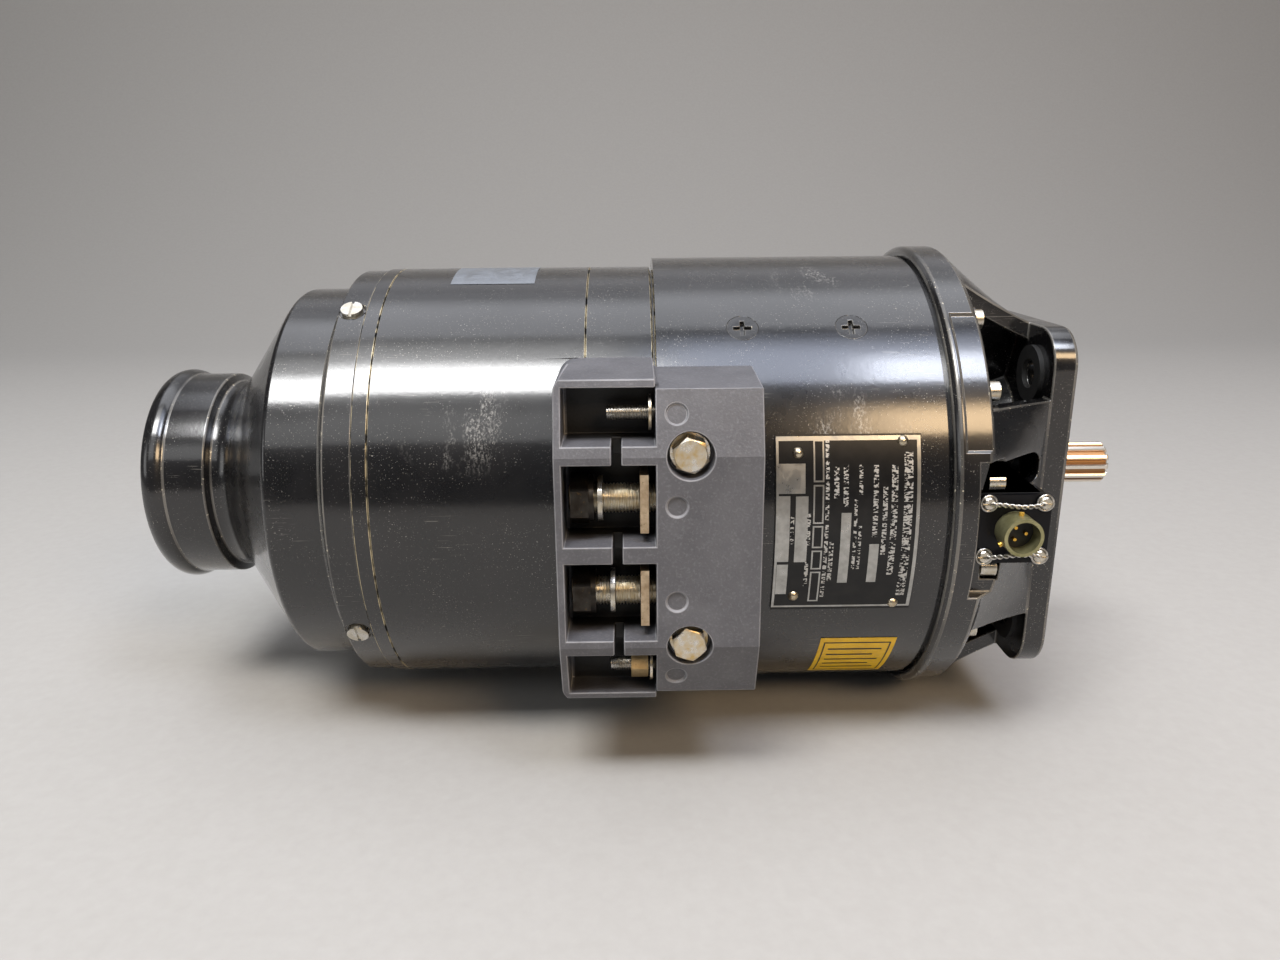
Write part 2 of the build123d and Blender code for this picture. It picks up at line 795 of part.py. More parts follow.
def brush_band():
    """Thin sheet band over the brush windows, with a lugged gap on the side away from the terminals."""
    inner = frame_radius - band_thickness
    left = band_left + slide_gap
    right = ring_left - slide_gap
    middle = (left + right) / 2
    band = ring(left, right, frame_radius, inner)
    lug_depth = band_gap / 2 + band_lug_thickness
    lugs = block_between((middle - band_lug_width / 2, middle + band_lug_width / 2),
                         (-frame_radius - band_lug_height, -inner - band_thickness / 2), (-lug_depth, lug_depth))
    gap = block_between((left, right), (-2 * frame_radius, -inner + overcut), (-band_gap / 2, band_gap / 2))
    screw_hole = rod(Plane.XY.offset(-lug_depth), band_screw_diameter / 2 + seat_gap, 2 * lug_depth)
    hole_place = Pos(middle, -frame_radius - band_lug_height / 2, 0)
    closed = at_angle(180) * (lugs - gap - hole_place * screw_hole)
    return band - at_angle(180) * gap + closed


def band_screw():
    """Screw and nut that draw the band's lugs together."""
    middle = (band_left + ring_left) / 2
    lug_depth = band_gap / 2 + band_lug_thickness
    place = at_angle(180) * Pos(middle, -frame_radius - band_lug_height / 2, 0)
    shank_start = lug_depth + band_nut_height + thread_stand_out
    shank = rod(Plane.XY.offset(-shank_start), band_screw_diameter / 2, shank_start + lug_depth)
    head = rod(Plane.XY.offset(lug_depth), band_screw_head_diameter / 2, band_screw_head_height)
    head -= Pos(0, 0, lug_depth + band_screw_head_height) * Box(
        2 * band_screw_head_diameter, band_screw_slot_width, 2 * band_screw_slot_depth)
    nut = hexagon(Plane.XY.offset(-lug_depth - band_nut_height), band_nut_width, band_nut_height)
    return place * (shank + head + nut)


def rounded(face, corners):
    """Face with some of its corners rounded, each given as (station, distance, radius)."""
    for station, distance, radius in corners:
        corner = face.vertices().sort_by_distance((station, distance, 0))[0]
        face = fillet(corner, radius)
    return face


def inlet_cover():
    """Spun and welded inlet cover: ring, cylinder, cone, neck, collar and rolled bead."""
    cone_angle = atan2(cover_body_radius - neck_radius, cover_cone_length)
    shift = cover_wall * tan(cone_angle / 2)
    collar_angle = atan2(collar_step, collar_step_length)
    collar_shift = cover_wall * tan(collar_angle / 2)
    collar_start = neck_left + collar_step_length
    outside = [(frame_left, cover_ring_radius), (cover_ring_left, cover_ring_radius),
               (body_right, cover_body_radius), (body_left, cover_body_radius), (cone_left, neck_radius),
               (collar_start, neck_radius), (neck_left, collar_radius), (cover_left, collar_radius)]
    inside = [(cover_left, collar_radius - cover_wall), (neck_left - collar_shift, collar_radius - cover_wall),
              (collar_start - collar_shift, neck_radius - cover_wall), (cone_left + shift, neck_radius - cover_wall),
              (body_left + shift, cover_body_radius - cover_wall),
              (body_right + cover_step_shift, cover_body_radius - cover_wall),
              (cover_ring_left + cover_step_shift, cover_ring_radius - cover_wall),
              (frame_left, cover_ring_radius - cover_wall)]
    profile = rounded(make_face(Polyline(*outside, *inside, close=True)), [
        (body_left, cover_body_radius, cover_edge_radius), (cone_left, neck_radius, neck_fillet_radius),
        (cone_left + shift, neck_radius - cover_wall, neck_fillet_radius + cover_wall)])
    bead_middle = (collar_left + cover_left) / 2
    bead = make_face([Line((collar_left, collar_radius), (cover_left, collar_radius)),
                      ThreePointArc((collar_left, collar_radius), (bead_middle, bead_radius),
                                    (cover_left, collar_radius))])
    cover = revolve(profile + bead, Axis.X)
    seat = rod(outward(cover_screw_station(), 0, cover_ring_radius - cover_screw_seat_depth),
               cover_screw_head_diameter / 2 + cover_screw_seat_gap, cover_screw_seat_depth + overcut)
    for cut in spread(seat, 4, cover_screw_angle) + cover_screw_shanks(running_gap):
        cover -= cut
    return cover


def cover_screw_station():
    """Station of the screws through the cover's ring."""
    return frame_left - cover_screw_inset


def cover_screw_shanks(extra):
    """Shanks of the cover screws, or their holes when made larger."""
    top = cover_ring_radius - cover_screw_seat_depth
    shank = rod(outward(cover_screw_station(), 0, top), cover_screw_diameter / 2 + extra,
                cover_screw_length + extra, -cover_screw_length - extra)
    return spread(shank, 4, cover_screw_angle)


def cover_screws():
    """Slotted fillister-head screws that hold the inlet cover."""
    plane = outward(cover_screw_station(), 0, cover_ring_radius - cover_screw_seat_depth)
    head = rod(plane, cover_screw_head_diameter / 2, cover_screw_head_height)
    head -= plane.offset(cover_screw_head_height) * Box(
        cover_screw_slot_width, cover_screw_head_diameter, 2 * cover_screw_slot_depth)
    heads = spread(head, 4, cover_screw_angle)
    return [top + shank for top, shank in zip(heads, cover_screw_shanks(0.0))]


def block_slice(left, right, extra):
    """Length of the terminal block's facetted section, down to the casing."""
    half = block_half_width + extra
    slope = (block_face_distance - block_edge_distance) / (block_half_width - block_face_half_width)
    edge = block_edge_distance - slope * extra
    foot = half + block_draft
    root = yoke_radius - block_root_depth
    outline = [(-block_face_distance, -block_face_half_width), (-edge, -half), (-root, -foot),
               (-root, foot), (-edge, half), (-block_face_distance, block_face_half_width)]
    return extrude(facing_drive(left) * make_face(Polyline(*outline, close=True)), right - left)


def compartments():
    """The four wells of the terminal tray, from -Z to +Z, as height limits."""
    half = block_half_width + tray_extra_width - tray_wall
    walls = [0, block_face_half_width + outer_barrier_offset]
    inner = (walls[0] + barrier_thickness / 2, walls[1] - barrier_thickness / 2)
    outer = (walls[1] + barrier_thickness / 2, half)
    return [(-outer[1], -outer[0]), (-inner[1], -inner[0]), inner, outer]


def terminal_block():
    """Moulded terminal block: a solid half with the bolts and an open tray with four wells."""
    tray = block_slice(block_left, tray_right, tray_extra_width)
    corners = extrude(Plane(origin=(tray_right, 0, 0), x_dir=(1, 0, 0), z_dir=(0, -1, 0))
                      * RectangleRounded(2 * tray_length, 2 * (block_half_width + tray_extra_width + block_draft),
                                         tray_corner_radius), 2 * block_face_distance)
    tray &= corners
    floor = -(frame_radius + seat_gap + block_floor)
    for low, high in compartments():
        tray -= block_between((block_left + tray_wall, tray_right), (-2 * block_face_distance, floor), (low, high))
    slot_middle = tray_right - barrier_slot_place
    reach = block_face_half_width + barrier_thickness
    tray -= block_between((slot_middle - barrier_slot / 2, slot_middle + barrier_slot / 2),
                          (-2 * block_face_distance, -block_face_distance + barrier_slot_depth), (-reach, reach))
    block = tray + block_slice(tray_right, block_right, 0.0)
    block -= disc(block_left, yoke_left, frame_radius + seat_gap)
    block -= disc(yoke_left - seat_gap, block_right, yoke_radius + seat_gap)
    for side in (-1, 1):
        bolt_plane = outward(block_bolt_station(), side * block_face_half_width, block_face_distance)
        block -= rod(bolt_plane, block_counterbore_diameter / 2, block_counterbore_depth + overcut,
                     -block_counterbore_depth)
    for cut in block_bolt_shanks(running_gap):
        block -= cut
    for plane in mark_planes():
        block -= rod(plane, mark_diameter / 2, overcut + mark_depth, -mark_depth)
    for cut in stud_rods(running_gap):
        block -= cut
    return block


def mark_planes():
    """Planes of the four round recesses that carry the terminal marks."""
    station = tray_right + mark_inset
    slope = atan2(block_face_distance - block_edge_distance, block_half_width - block_face_half_width)
    planes = [outward(station, side * large_stud_place, block_face_distance) for side in (-1, 1)]
    for side in (-1, 1):
        height = small_stud_place + outer_mark_offset
        drop = (height - block_face_half_width) * tan(slope)
        planes.append(Plane(origin=(station, -block_face_distance + drop, side * height),
                            x_dir=(1, 0, 0), z_dir=(0, -cos(slope), side * sin(slope))))
    return planes


def block_bolt_station():
    """Station of the two bolts that hold the terminal block."""
    return tray_right + block_bolt_inset


def block_bolt_seat():
    """Distance from the shaft to the floor of the counterbores."""
    return block_face_distance - block_counterbore_depth


def block_bolt_shanks(extra):
    """Shanks of the block bolts, or their holes when made larger."""
    surface = sqrt(yoke_radius ** 2 - block_face_half_width ** 2)
    top = block_bolt_seat() + block_bolt_washer_thickness
    length = top - surface + block_bolt_depth + extra
    return [rod(outward(block_bolt_station(), side * block_face_half_width, top),
                block_bolt_diameter / 2 + extra, length, -length) for side in (-1, 1)]


def block_bolts():
    """Hexagon bolts that hold the terminal block on the yoke."""
    bolts = []
    for side, shank in zip((-1, 1), block_bolt_shanks(0.0)):
        plane = outward(block_bolt_station(), side * block_face_half_width, block_bolt_seat())
        head = hexagon(plane, block_bolt_width, block_bolt_head_height, block_bolt_washer_thickness, block_bolt_turn)
        crown_top = block_bolt_width / 2 * block_bolt_crown_share
        crown = plane.offset(block_bolt_washer_thickness) * Solid.make_cone(
            crown_top + block_bolt_head_height * sqrt(3), crown_top, block_bolt_head_height)
        bolts.append((head & crown) + shank)
    return bolts


def block_bolt_washers():
    """Plain washers under the block bolts."""
    washers = []
    for side in (-1, 1):
        plane = outward(block_bolt_station(), side * block_face_half_width, block_bolt_seat())
        outer = rod(plane, block_bolt_washer_diameter / 2, block_bolt_washer_thickness)
        washers.append(outer - rod(plane, block_bolt_diameter / 2 + seat_gap, block_bolt_washer_thickness))
    return washers


def large_stud_plane(side, station):
    """Plane across a large stud, facing the tray's end wall (-X)."""
    return Plane(origin=(station, -terminal_distance, side * large_stud_place), x_dir=(0, 1, 0), z_dir=(-1, 0, 0))


def small_stud_plane(side, station):
    """Plane across a small stud, facing the tray's end wall (-X)."""
    return Plane(origin=(station, -small_terminal_distance, side * small_stud_place),
                 x_dir=(0, 1, 0), z_dir=(-1, 0, 0))


def stud_rods(extra):
    """All four studs from their roots in the block, or their holes when made larger."""
    rods = []
    for side in (-1, 1):
        root = tray_right + stud_root
        rods.append(rod(large_stud_plane(side, root), large_stud_diameter / 2 + extra, stud_root + large_stud_reach))
        rods.append(rod(small_stud_plane(side, root), small_stud_diameter / 2 + extra, stud_root + small_stud_reach))
    return rods


def large_studs():
    """Large terminal studs."""
    return [chamfer(stud.faces().sort_by(Axis.X)[0].edges(), large_stud_chamfer)
            for stud in stud_rods(0.0)[0::2]]


def small_studs():
    """Small terminal studs."""
    return [chamfer(stud.faces().sort_by(Axis.X)[0].edges(), small_stud_chamfer)
            for stud in stud_rods(0.0)[1::2]]


def terminal_plates():
    """Flat connection plates at the roots of the large studs."""
    plates = []
    for side in (-1, 1):
        plane = large_stud_plane(side, tray_right - terminal_plate_gap)
        outline = Rectangle(terminal_plate_width, terminal_plate_height) - Circle(large_stud_diameter / 2 + seat_gap)
        plates.append(extrude(plane * outline, terminal_plate_thickness))
    return plates


def washer_on(plane, outer, bore, thickness):
    """Flat washer on a stud."""
    return extrude(plane * (Circle(outer / 2) - Circle(bore / 2 + seat_gap)), thickness)


def nut_station():
    """Station of the large nuts' faces towards the block."""
    return tray_right - large_stud_reach + large_nut_height + nut_inset


def terminal_nuts():
    """Hexagon nuts at the ends of the large studs."""
    nuts = []
    for side in (-1, 1):
        plane = large_stud_plane(side, nut_station())
        body = hexagon(plane, large_nut_width, large_nut_height, turn=30)
        nuts.append(body - rod(plane, large_stud_diameter / 2 + running_gap, large_nut_height))
    return nuts


def flat_washers():
    """Loose flat washers, one on each large stud, the lower one further from its nut."""
    washers = []
    for side, gap in ((1, loose_washer_gap), (-1, loose_washer_gap + loose_washer_step)):
        plane = large_stud_plane(side, nut_station() + gap + flat_washer_thickness)
        washers.append(washer_on(plane, flat_washer_diameter, large_stud_diameter, flat_washer_thickness))
    return washers


def spring_washers():
    """Split lock washers behind the large nuts."""
    washers = []
    for side in (-1, 1):
        plane = large_stud_plane(side, nut_station() + spring_washer_thickness)
        washer = washer_on(plane, large_nut_width, large_stud_diameter, spring_washer_thickness)
        split = plane.offset(spring_washer_thickness / 2) * Pos(0, -large_nut_width / 2, 0)
        cut = split * Box(spring_washer_split, large_nut_width, 2 * spring_washer_thickness)
        washers.append(washer - cut)
    return washers


def small_nut():
    """Brass nut on the small stud of the lowest well."""
    plane = small_stud_plane(-1, tray_right - small_nut_gap)
    nut = hexagon(plane, small_nut_width, small_nut_height)
    return nut - rod(plane, small_stud_diameter / 2 + running_gap, small_nut_height)


def small_washers():
    """Thin washers at the roots of the small studs."""
    return [washer_on(small_stud_plane(side, tray_right - small_washer_gap), small_washer_diameter,
                      small_stud_diameter, small_washer_thickness) for side in (-1, 1)]


def plate_arc():
    """Half of the angle that the name plate covers about the shaft."""
    return degrees(plate_height / yoke_radius) / 2


def name_plate():
    """Thin name plate bent round the yoke, left blank."""
    plate = ring(plate_left, plate_right, plate_face_radius, yoke_radius + seat_gap)
    return plate & wedge(plate_angle - plate_arc(), plate_angle + plate_arc(), plate_left, plate_right,
                         2 * yoke_radius)


def name_plate_rivets():
    """Domed rivets at the plate's corners."""
    rivets = []
    pairs = ((plate_left + rivet_left_inset, rivet_left_edge), (plate_right - rivet_right_inset, rivet_right_edge))
    for station, edge_distance in pairs:
        inset = plate_arc() - degrees(edge_distance / yoke_radius)
        for angle in (plate_angle - inset, plate_angle + inset):
            plane = outward(station, 0, plate_face_radius)
            sphere_radius = (rivet_diameter ** 2 / 4 + rivet_height ** 2) / (2 * rivet_height)
            dome = plane.offset(rivet_height - sphere_radius) * Sphere(sphere_radius)
            rivets.append(at_angle(angle) * (dome & rod(plane, rivet_diameter / 2, rivet_height + overcut)))
    return rivets


def connector_front():
    """Height of the shell's mouth above the connector's seat."""
    return connector_gasket_thickness + connector_flange_thickness + connector_reach


def connector_plane(start=0.0):
    """Plane of the connector's seat, facing outwards."""
    return outward(-connector_place, 0, connector_seat_distance + start)


def connector_screw_shanks(extra):
    """Shanks of the connector screws, or their holes when made larger."""
    depth = connector_screw_depth + extra
    shanks = []
    for place in GridLocations(connector_screw_pitch, connector_screw_pitch, 2, 2):
        height = depth + connector_gasket_thickness + connector_flange_thickness
        shanks.append(extrude(connector_plane(-depth) * place * Circle(connector_screw_diameter / 2 + extra), height))
    return shanks


def connector_gasket():
    """Gasket between the connector's flange and the frame."""
    outline = RectangleRounded(connector_flange_width, connector_flange_width, connector_corner_radius)
    gasket = extrude(connector_plane() * (outline - Circle(connector_body_diameter / 2 + seat_gap)),
                     connector_gasket_thickness)
    for cut in connector_screw_shanks(running_gap):
        gasket -= cut
    return gasket


def connector_shell():
    """Receptacle shell with its square flange and three bayonet pins."""
    base = connector_plane(connector_gasket_thickness)
    outline = RectangleRounded(connector_flange_width, connector_flange_width, connector_corner_radius)
    shell = extrude(base * outline, connector_flange_thickness)
    shell += rod(connector_plane(), connector_body_diameter / 2, connector_body_depth, -connector_body_depth)
    shoulder = connector_body_diameter / 2 - connector_body_shoulder
    shell += rod(base, shoulder, connector_gasket_thickness, -connector_gasket_thickness)
    reach = connector_flange_thickness + connector_reach
    shell += rod(base, connector_shell_diameter / 2, reach)
    bore = connector_shell_diameter / 2 - connector_shell_wall
    shell -= rod(connector_plane(), bore, connector_front() + connector_insert_root, -connector_insert_root)
    for cut in connector_screw_shanks(running_gap):
        shell -= cut
    root = bore + bayonet_pin_root
    height = connector_shell_diameter / 2 + bayonet_pin_height - root
    pin_base = base.offset(connector_flange_thickness + connector_reach * bayonet_pin_share)
    for k in range(bayonet_pins):
        turn = pin_base * Rot(Z=90 + 360 / bayonet_pins * k)
        shell += turn * Pos(root, 0, 0) * Rot(Y=90) * Cylinder(
            bayonet_pin_diameter / 2, height, align=(Align.CENTER, Align.CENTER, Align.MIN))
    return shell


def connector_insert():
    """Moulded insert that holds the pins."""
    face = connector_front() - connector_insert_depth
    radius = connector_shell_diameter / 2 - connector_shell_wall - running_gap
    insert = rod(connector_plane(), radius, face + connector_insert_root, -connector_insert_root)
    root = connector_plane(face - connector_pin_root)
    for place in PolarLocations(connector_pin_circle / 2, connector_pin_count):
        insert -= extrude(root * place * Circle(connector_pin_diameter / 2 + running_gap), connector_pin_root)
    return insert


def connector_pins_group():
    """Contact pins of the connector."""
    root = connector_plane(connector_front() - connector_insert_depth - connector_pin_root)
    length = connector_pin_root + connector_pin_length
    return [extrude(root * place * Circle(connector_pin_diameter / 2), length)
            for place in PolarLocations(connector_pin_circle / 2, connector_pin_count)]


def connector_screws():
    """Drilled pan-head screws of the connector."""
    screws = []
    top = connector_gasket_thickness + connector_flange_thickness
    for place, shank in zip(GridLocations(connector_screw_pitch, connector_screw_pitch, 2, 2),
                            connector_screw_shanks(0.0)):
        head = extrude(connector_plane(top) * place * Circle(connector_screw_head_diameter / 2),
                       connector_screw_head_height)
        head = chamfer(head.faces().sort_by(Axis.Y)[0].edges(), connector_screw_chamfer)
        head -= connector_plane(top + connector_screw_head_height) * place * Box(
            connector_screw_head_diameter, connector_screw_slot_width, 2 * connector_screw_slot_depth)
        screws.append(head + shank)
    return screws


def race_parts(left, width, bore, outer):
    """Outer ring, inner ring and balls of a deep-groove ball bearing."""
    middle = left + width / 2
    pitch = (bore + outer) / 4
    ball = (outer - bore) / 2 * race_share
    groove_radius = ball + ball_gap
    land = (outer - bore) / 4 * race_land_share
    groove = revolve(Pos(middle, pitch) * Circle(groove_radius), Axis.X)
    outer_ring = ring(left, left + width, outer / 2, pitch + land) - groove
    inner_ring = ring(left, left + width, pitch - land, bore / 2) - groove
    balls = spread(Pos(middle, -pitch, 0) * Sphere(ball), ball_count)
    return outer_ring, inner_ring, balls


def bearing_retainer():
    """Plate that holds the drive end bearing in its hub."""
    inner = drive_bearing_outer / 2 - retainer_lip
    return ring(hub_left - retainer_thickness, hub_left, hub_radius - retainer_inset, inner)


def armature_shaft():
    """Hollow armature shaft with its bearing seats."""
    seat = drive_bearing_bore / 2
    return turned(
        (shaft_left, quill_seat_diameter / 2 + running_gap), (shaft_left, shaft_tail_diameter / 2),
        (fan_right, shaft_tail_diameter / 2), (fan_right, cover_bearing_bore / 2),
        (shaft_shoulder, cover_bearing_bore / 2), (shaft_shoulder, shaft_diameter / 2),
        (drive_bearing_left, shaft_diameter / 2), (drive_bearing_left, seat),
        (shaft_right, seat), (shaft_right, shaft_bore / 2),
        (commutator_left, shaft_bore / 2),
        (commutator_left - bore_taper_length, quill_seat_diameter / 2 + running_gap))


def armature_core():
    """Laminated core with its winding slots."""
    core = ring(core_left, core_right, armature_radius, shaft_diameter / 2 + running_gap)
    cutter = block_between((core_left, core_right), (-armature_radius - overcut, -armature_radius + slot_depth),
                           (-slot_width / 2, slot_width / 2))
    for cut in spread(cutter, slot_count):
        core -= cut
    return core


def armature_windings():
    """Winding bars in the slots, their end turns and the leads to the risers."""
    top = armature_radius - winding_top_depth
    bottom = armature_radius - slot_depth + seat_gap
    bar = block_between((core_left - winding_lap, core_right + winding_lap), (-top, -bottom),
                        (-slot_width / 2 + seat_gap, slot_width / 2 - seat_gap))
    left_turns = ring(core_left - winding_overhang, core_left - seat_gap, top, bottom)
    right_turns = ring(core_right + seat_gap, core_right + winding_overhang, top, bottom)
    leads = ring(riser_right + seat_gap, core_left - winding_overhang + winding_lap,
                 winding_lead_radius + winding_lead_above, winding_lead_radius - winding_lead_below)
    return left_turns + right_turns + leads + spread(bar, slot_count)


def commutator():
    """Copper commutator with undercut slots and risers."""
    bore = shaft_diameter / 2 + running_gap
    body = turned((commutator_left, bore), (commutator_left, commutator_radius),
                  (commutator_right, commutator_radius), (commutator_right, riser_radius),
                  (riser_right, riser_radius), (riser_right, bore))
    cutter = block_between((commutator_left, commutator_right),
                           (-commutator_radius - overcut, -commutator_radius + commutator_cut_depth),
                           (-commutator_cut_width / 2, commutator_cut_width / 2))
    for cut in spread(cutter, commutator_bars):
        body -= cut
    return body


def cooling_fan():
    """Cast fan on the tail of the shaft, with pitched blades on a dished hub."""
    bore = shaft_tail_diameter / 2 + running_gap
    hub = turned((fan_left, bore), (fan_left, fan_hub_radius - fan_hub_chamfer),
                 (fan_left + fan_hub_chamfer_length, fan_hub_radius),
                 (fan_right, fan_hub_radius), (fan_right, bore))
    span = fan_radius - fan_hub_radius + fan_blade_root
    chord = (fan_width - fan_blade_thickness) / cos(radians(fan_blade_pitch))
    middle = (fan_left + fan_right) / 2
    blade = Pos(middle, -fan_radius + span / 2, 0) * Rot(Y=fan_blade_pitch) * Box(
        chord, span + overcut, fan_blade_thickness)
    blade &= ring(fan_left, fan_right, fan_radius, fan_hub_radius - fan_blade_root)
    return hub + spread(blade, fan_blades)


def nut_about_shaft(left, length, width, bore):
    """Hexagon nut on the shaft axis."""
    return hexagon(facing_drive(left), width, length) - disc(left, left + length, bore / 2 + running_gap)


def drive_end_locknut():
    """Slotted locknut that holds the inner ring of the drive end bearing."""
    left = drive_bearing_right
    nut = ring(left, left + locknut_length, locknut_diameter / 2, drive_bearing_bore / 2 + running_gap)
    edge = -locknut_diameter / 2
    notch = block_between((left, left + locknut_length), (edge - overcut, edge + locknut_notch_depth),
                          (-locknut_notch_width / 2, locknut_notch_width / 2))
    for cut in spread(notch, 4):
        nut -= cut
    return nut


def damper_plate():
    """Friction damper plate between the quill's head and the armature shaft."""
    return ring(shaft_left - damper_thickness, shaft_left, quill_nut_width / 2 + damper_rim,
                quill_seat_diameter / 2 + running_gap)


def spline_tooth():
    """End view of one involute spline tooth, from below the root to the major circle."""
    major = spline_major_diameter / 2
    minor = spline_minor_diameter / 2
    pitch = (major + minor) / 2
    base = pitch * cos(radians(spline_pressure_angle))
    half_at_pitch = pi / (2 * spline_teeth)
    involute_at_pitch = sqrt((pitch / base) ** 2 - 1) - atan2(sqrt(pitch ** 2 - base ** 2), base)

    def flank(radius):
        roll = sqrt(max((radius / base) ** 2 - 1, 0))
        return half_at_pitch + involute_at_pitch - (roll - atan2(roll, 1))

    def spot(radius, angle):
        return (radius * cos(angle), radius * sin(angle))

    steps = [minor, pitch, major]
    right = [spot(radius, -flank(radius)) for radius in steps]
    left = [spot(radius, flank(radius)) for radius in reversed(steps)]
    inside = minor - overcut
    root = [spot(inside, flank(minor)), spot(inside, -flank(minor))]
    return make_face(Polyline(*right, *left, *root, close=True))


def drive_shaft():
    """Quill shaft with its seat, shear neck and external spline."""
    minor = spline_minor_diameter / 2
    neck = shear_neck_diameter / 2
    spline_left = shaft_reach - spline_length
    neck_left_end = spline_left - shear_neck_length
    shaft = turned(
        (quill_left, 0), (quill_left, quill_seat_diameter / 2),
        (commutator_left - quill_taper_length, quill_seat_diameter / 2), (commutator_left, quill_diameter / 2),
        (neck_left_end - neck_taper_length, quill_diameter / 2), (neck_left_end, neck),
        (spline_left - spline_run_out, neck), (spline_left, minor), (shaft_reach - spline_chamfer, minor),
        (shaft_reach, minor - spline_chamfer), (shaft_reach, 0))
    major = spline_major_diameter / 2
    envelope = turned((spline_left, 0), (spline_left, major - spline_chamfer / 2),
                      (spline_left + spline_chamfer / 2, major), (shaft_reach - spline_chamfer, major),
                      (shaft_reach, major - spline_chamfer), (shaft_reach, 0))
    tooth = extrude(facing_drive(spline_left) * spline_tooth(), spline_length)
    teeth = Part() + spread(tooth, spline_teeth)
    return shaft + (teeth & envelope)


def brush_carrier():
    """Insulating ring that carries the brush holders."""
    return ring(carrier_left + seat_gap, carrier_left + carrier_thickness, frame_bore - seat_gap, carrier_bore_radius)


def brush_holder():
    """Brush box with its foot on the carrier, made on the terminal side."""
    low = commutator_radius + holder_lift
    high = low + holder_height
    half = brush_width / 2 + slide_gap
    outer = half + holder_wall
    left = brush_left - slide_gap
    right = brush_right + slide_gap
    box = block_between((left - holder_wall, right + holder_wall), (-high, -low), (-outer, outer))
    box -= block_between((left, right), (-high, -low), (-half, half))
    foot_right = left - holder_wall
    foot_left = carrier_left + carrier_thickness
    foot = block_between((foot_left, foot_right),
                         (-frame_bore + holder_foot_inset, -carrier_bore_radius - holder_foot_lap),
                         (-outer - holder_foot_side, outer + holder_foot_side))
    return box + foot


def brush_pair():
    """Two carbon brushes side by side, hollowed to the commutator."""
    low = commutator_radius + brush_gap
    high = low + brush_height
    half = brush_width / 2
    brushes = []
    for left in (brush_left, brush_right - brush_axial):
        carbon = block_between((left, left + brush_axial), (-high, -low + brush_hollow), (-half, half))
        brushes.append(carbon - disc(brush_left, brush_right, low))
    return brushes


def brush_spring():
    """Coiled strip spring that rests on a pair of brushes."""
    middle = (brush_left + brush_right) / 2
    top = commutator_radius + brush_gap + brush_height
    length = brush_pair_length - 2 * brush_spring_inset
    plane = Plane(origin=(middle - length / 2, -top - brush_spring_radius, 0), x_dir=(0, 1, 0), z_dir=(1, 0, 0))
    coil_ring = Circle(brush_spring_radius) - Circle(brush_spring_radius - brush_spring_turn)
    return extrude(plane * coil_ring, length)


def solids_of(shape):
    """Separate solids of one piece or a list of like pieces."""
    pieces = shape if isinstance(shape, (list, tuple)) else [shape]
    return [solid for piece in pieces for solid in piece.solids()]


def write(name, shape):
    """Write one sub-part."""
    export_step(Compound(children=solids_of(shape)) if len(solids_of(shape)) > 1 else solids_of(shape)[0],
                "parts/" + name + ".step")


os.makedirs("parts", exist_ok=True)

drive_outer, drive_inner, drive_balls = race_parts(
    drive_bearing_left, drive_bearing_width, drive_bearing_bore, drive_bearing_outer)
cover_outer, cover_inner, cover_balls = race_parts(
    cover_bearing_left, cover_bearing_width, cover_bearing_bore, cover_bearing_outer)

pieces = {
    "drive_end_frame": drive_end_frame(),
    "frame_screws": frame_screws(),
    "mount_grommets": grommets(),
    "stator_yoke": stator_yoke(),
    "pole_screws": pole_screws(),
    "interpole_screws": interpole_screws(),
    "main_poles": main_poles(),
    "interpoles": interpoles(),
    "main_field_coils": main_coils(),
    "interpole_coils": interpole_coils(),
    "commutator_end_frame": commutator_end_frame(),
    "brush_cover_band": brush_band(),
    "band_screw": band_screw(),
    "inlet_cover": inlet_cover(),
    "cover_screws": cover_screws(),
    "terminal_block": terminal_block(),
    "block_bolts": block_bolts(),
    "block_bolt_washers": block_bolt_washers(),
    "large_terminal_studs": large_studs(),
    "small_terminal_studs": small_studs(),
    "terminal_plates": terminal_plates(),
    "terminal_nuts": terminal_nuts(),
    "flat_washers": flat_washers(),
    "spring_washers": spring_washers(),
    "small_terminal_nut": small_nut(),
    "small_terminal_washers": small_washers(),
    "name_plate": name_plate(),
    "name_plate_rivets": name_plate_rivets(),
    "connector_gasket": connector_gasket(),
    "connector_shell": connector_shell(),
    "connector_insert": connector_insert(),
    "connector_pins": connector_pins_group(),
    "connector_screws": connector_screws(),
    "drive_bearing_outer_ring": drive_outer,
    "drive_bearing_inner_ring": drive_inner,
    "drive_bearing_balls": drive_balls,
    "cover_bearing_outer_ring": cover_outer,
    "cover_bearing_inner_ring": cover_inner,
    "cover_bearing_balls": cover_balls,
    "bearing_retainer": bearing_retainer(),
    "armature_shaft": armature_shaft(),
    "armature_core": armature_core(),
    "armature_windings": armature_windings(),
    "commutator": commutator(),
    "cooling_fan": cooling_fan(),
    "fan_nut": nut_about_shaft(fan_nut_left, fan_nut_length, fan_nut_width, shaft_tail_diameter),
    "drive_end_locknut": drive_end_locknut(),
    "drive_shaft": drive_shaft(),
    "drive_shaft_nut": nut_about_shaft(quill_nut_left, quill_nut_length, quill_nut_width, quill_seat_diameter),
    "damper_plate": damper_plate(),
    "brush_carrier": brush_carrier(),
    "brush_holders": spread(brush_holder(), 4, brush_angle),
}
for number, (brushes, spring) in enumerate(zip(
        [[at_angle(brush_angle + 90 * k) * carbon for carbon in brush_pair()] for k in range(4)],
        spread(brush_spring(), 4, brush_angle)), start=1):
    pieces[f"brushes_{number}"] = brushes
    pieces[f"brush_spring_{number}"] = spring

for name, shape in pieces.items():
    write(name, shape)
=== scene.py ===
from math import atan2, cos, pi, radians, sin, tau

import bmesh
import bpy
from mathutils import Matrix, Vector


